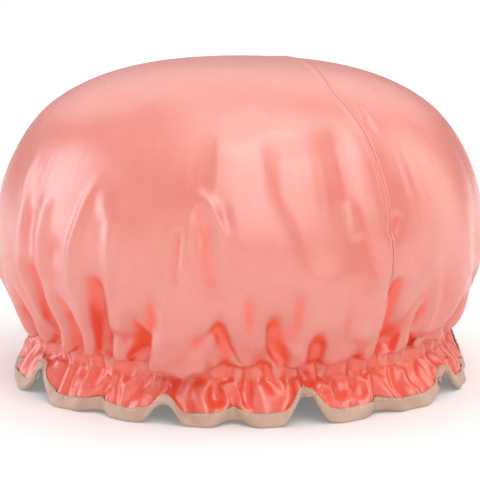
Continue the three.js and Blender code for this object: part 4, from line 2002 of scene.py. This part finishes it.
@dataclass
class Stitching:
    """All the stitch rows of the cap."""

    grid: ClothGrid
    binding: EdgeBinding
    coral: ThreadFinish = ThreadFinish("coral_thread", (0.84, 0.24, 0.17), (0.66, 0.14, 0.09))
    beige: ThreadFinish = ThreadFinish("beige_thread", (0.80, 0.68, 0.56), (0.62, 0.48, 0.37))
    film_lift: float = 0.00030
    tape_lift: float = 0.00008
    seam_lift: float = -0.0006
    seam_radius: float = 0.0002
    below_tape_top: float = 0.0013
    outside_tape: float = 0.0030
    inside_tape: float = -0.0040

    def sew(self, cover: OuterCover, lining: FilmLining, tape: bpy.types.Object, opening: HemOpening) -> None:
        """Sews the channel, the binding and the two crown seams.

        Args:
            cover: the satin, with its surface and seam line.
            lining: the film, with its surface and seam line.
            tape: the folded tape.
            opening: how the rows follow the hem's hinge.
        """
        for level, row in (("upper", -1), ("lower", 1)):
            path = cover.points[self.grid.rings[self.grid.side_rows + row]]
            name = f"channel_{level}"
            needle = StitchRow(f"{name}_stitches", f"{name}_needle_thread", self.coral)
            needle.dress(needle.build(path, cover.surface), opening)
            bobbin = StitchRow(
                f"{name}_back_stitches", f"{name}_bobbin_thread", self.coral, Face.INSIDE, self.film_lift)
            bobbin.dress(bobbin.build(path, lining.surface), opening)
        tape_surface = surface_of(points_of(tape.data), faces_of(tape.data))
        up = self.binding.width - self.below_tape_top
        rows = (("topstitches", "needle", self.outside_tape), ("back_stitches", "bobbin", self.inside_tape))
        for name, thread, off in rows:
            stitches = StitchRow(
                f"binding_{name}", f"binding_{thread}_thread", self.beige, lift=self.tape_lift)
            stitches.dress(stitches.build(self.binding.line(up, off), tape_surface), opening)
        crown = StitchRow("crown_seam_stitches", "crown_seam_thread", self.coral, lift=self.seam_lift,
                          closed=False, radius=self.seam_radius)
        crown.dress(crown.build(cover.seam_line, cover.surface), opening)
        film_seam = StitchRow("lining_seam_stitches", "lining_seam_thread", self.beige, Face.INSIDE,
                              self.film_lift, closed=False)
        film_seam.dress(film_seam.build(lining.seam_line, lining.surface), opening)


@dataclass(frozen=True)
class Lamp:
    """A soft light panel that faces the cap.

    Its place is the turn to the right of the camera and the rise, in degrees, and the distance in metres. Its
    panel is the width and the height in metres, and its power is in watts.
    """

    name: str
    place: tuple
    panel: tuple
    power: float
    tint: tuple


@dataclass(frozen=True)
class Studio:
    """The table, the soft lights and the camera at the photograph's angle."""

    azimuth: float = math.radians(75.5)
    elevation: float = math.radians(9.0)
    distance: float = 1.2
    aim_height: float = 0.096
    lens: float = 153.5
    shift: float = -0.0625
    lamp_aim_height: float = 0.09
    table_size: float = 24.0
    table_tones: tuple = ((0.80, 0.79, 0.78), (0.82, 0.81, 0.80))
    glow_reach: tuple = (0.2, 1.8)
    glow: tuple = (0.14, 0.7)
    room_light: float = 0.60
    room_low: tuple = (0.33, 0.31, 0.30, 1.0)
    room_high: tuple = (0.96, 0.98, 1.0, 1.0)
    lamps: tuple = (
        Lamp("window", (20.0, 40.0, 1.3), (0.85, 1.6), 8.5, (1.0, 0.985, 0.965)),
        Lamp("over_crown", (70.0, 80.0, 1.3), (1.1, 1.2), 6.4, (1.0, 0.975, 0.95)),
        Lamp("behind_crown", (180.0, 40.0, 1.5), (2.2, 1.0), 5.0, (1.0, 0.985, 0.98)),
        Lamp("left_window", (-98.0, 14.0, 1.2), (0.6, 0.9), 5.6, (0.88, 0.92, 1.0)),
        Lamp("front_panel", (-20.0, 4.0, 1.3), (0.55, 0.45), 0.8, (1.0, 0.94, 0.92)),
        Lamp("left_panel", (-55.0, 12.0, 1.5), (1.5, 0.8), 1.8, (1.0, 0.89, 0.78)),
        Lamp("right_window", (105.0, 20.0, 1.2), (0.5, 0.9), 2.6, (1.0, 0.92, 0.86)),
    )

    def towards(self, turn: float, rise: float) -> Vector:
        """The direction of a light or the camera, turned from the camera's azimuth to the right."""
        angle = self.azimuth + turn
        return Vector((math.sin(angle) * math.cos(rise), -math.cos(angle) * math.cos(rise), math.sin(rise)))

    @staticmethod
    def _aim(name: str, data: bpy.types.ID, way: Vector, distance: float, height: float) -> bpy.types.Object:
        """Adds a camera or a light that looks back at the cap.

        Args:
            name: its name.
            data: the camera's or the light's own data.
            way: its direction from the cap.
            distance: its distance from where it is aimed.
            height: the height on the axis that it is aimed at.

        Returns:
            The new object, linked to the scene.
        """
        thing = bpy.data.objects.new(name, data)
        bpy.context.scene.collection.objects.link(thing)
        thing.location = Vector((0.0, 0.0, height)) + way * distance
        thing.rotation_euler = (-way).to_track_quat("-Z", "Y").to_euler()
        return thing

    def set_camera(self) -> None:
        """Places the camera."""
        data = bpy.data.cameras.new("photograph_camera")
        data.sensor_width = 36.0
        data.lens = self.lens
        data.shift_y = self.shift
        way = self.towards(0.0, self.elevation)
        bpy.context.scene.camera = self._aim("photograph_camera", data, way, self.distance, self.aim_height)

    def set_table(self) -> None:
        """Lays the pale table, which glows a little more the further it lies from the cap."""
        deselect_all()
        bpy.ops.mesh.primitive_plane_add(size=self.table_size)
        table = bpy.context.object
        table.name = "pale_table"
        bench = NodeBench("pale_table")
        place = bench.add("ShaderNodeTexCoord").outputs["Object"]
        bench.colour(bench.between(bench.noise(place, 3.0, 2.0), *self.table_tones))
        bench.set_shader(Roughness=0.8, Specular_IOR_Level=0.2, Emission_Color=(1.0, 1.0, 1.0, 1.0))
        reach = bench.add("ShaderNodeVectorMath", operation="LENGTH")
        bench.join(place, reach.inputs[0])
        glow = bench.add("ShaderNodeMapRange")
        limits = (*self.glow_reach, *self.glow)
        for socket, value in zip(("From Min", "From Max", "To Min", "To Max"), limits):
            glow.inputs[socket].default_value = value
        bench.join(reach.outputs["Value"], glow.inputs["Value"])
        bench.join(glow.outputs["Result"], bench.shader.inputs["Emission Strength"])
        table.data.materials.append(bench.material)

    def add_lamp(self, lamp: Lamp) -> None:
        """Adds one of the lamps."""
        data = bpy.data.lights.new(lamp.name, "AREA")
        data.shape = "RECTANGLE"
        data.size, data.size_y = lamp.panel
        data.energy = lamp.power
        data.color = lamp.tint
        turn, rise, distance = lamp.place
        way = self.towards(math.radians(turn), math.radians(rise))
        self._aim(lamp.name, data, way, distance, self.lamp_aim_height)

    def light(self) -> None:
        """Sets the room's light, brighter overhead than at the sides, and the lamps."""
        world = bpy.data.worlds.new("white_room")
        world.use_nodes = True
        tree = world.node_tree
        way = tree.nodes.new("ShaderNodeTexCoord")
        parts = tree.nodes.new("ShaderNodeSeparateXYZ")
        ramp = tree.nodes.new("ShaderNodeValToRGB")
        ramp.color_ramp.elements[0].position = 0.15
        ramp.color_ramp.elements[0].color = self.room_low
        ramp.color_ramp.elements[1].position = 0.85
        ramp.color_ramp.elements[1].color = self.room_high
        tree.links.new(way.outputs["Generated"], parts.inputs["Vector"])
        tree.links.new(parts.outputs["Z"], ramp.inputs["Fac"])
        tree.links.new(ramp.outputs["Color"], tree.nodes["Background"].inputs["Color"])
        tree.nodes["Background"].inputs["Strength"].default_value = self.room_light
        bpy.context.scene.world = world
        for lamp in self.lamps:
            self.add_lamp(lamp)
        bpy.context.scene.view_settings.view_transform = "Standard"


def main() -> None:
    """Builds the studio and the cap's pieces in order."""
    logging.basicConfig(level=logging.INFO, format="%(name)s: %(message)s")
    studio = Studio()
    studio.set_camera()
    studio.set_table()
    studio.light()
    outline = CapOutline()
    grid = ClothGrid(outline)
    flutes = Flutes(outline)
    cloth = CutCloth(grid, flutes)
    draped = ClothDraping(cloth).drape()
    opening = HemOpening()
    cover = OuterCover(grid, cloth)
    panels = cover.build(draped)
    lining = FilmLining(grid)
    film_panels = lining.build(cover)
    elastic = ElasticBand(grid)
    band = elastic.build(cover)
    binding = EdgeBinding(grid)
    tape = binding.build(cover)
    Stitching(grid, binding).sew(cover, lining, tape, opening)
    elastic.dress(band, opening)
    cover.dress(panels, opening)
    lining.dress(film_panels, cover.cut_areas(), opening)
    binding.dress(tape, flutes.length(), opening)


if __name__ == "__main__":
    main()
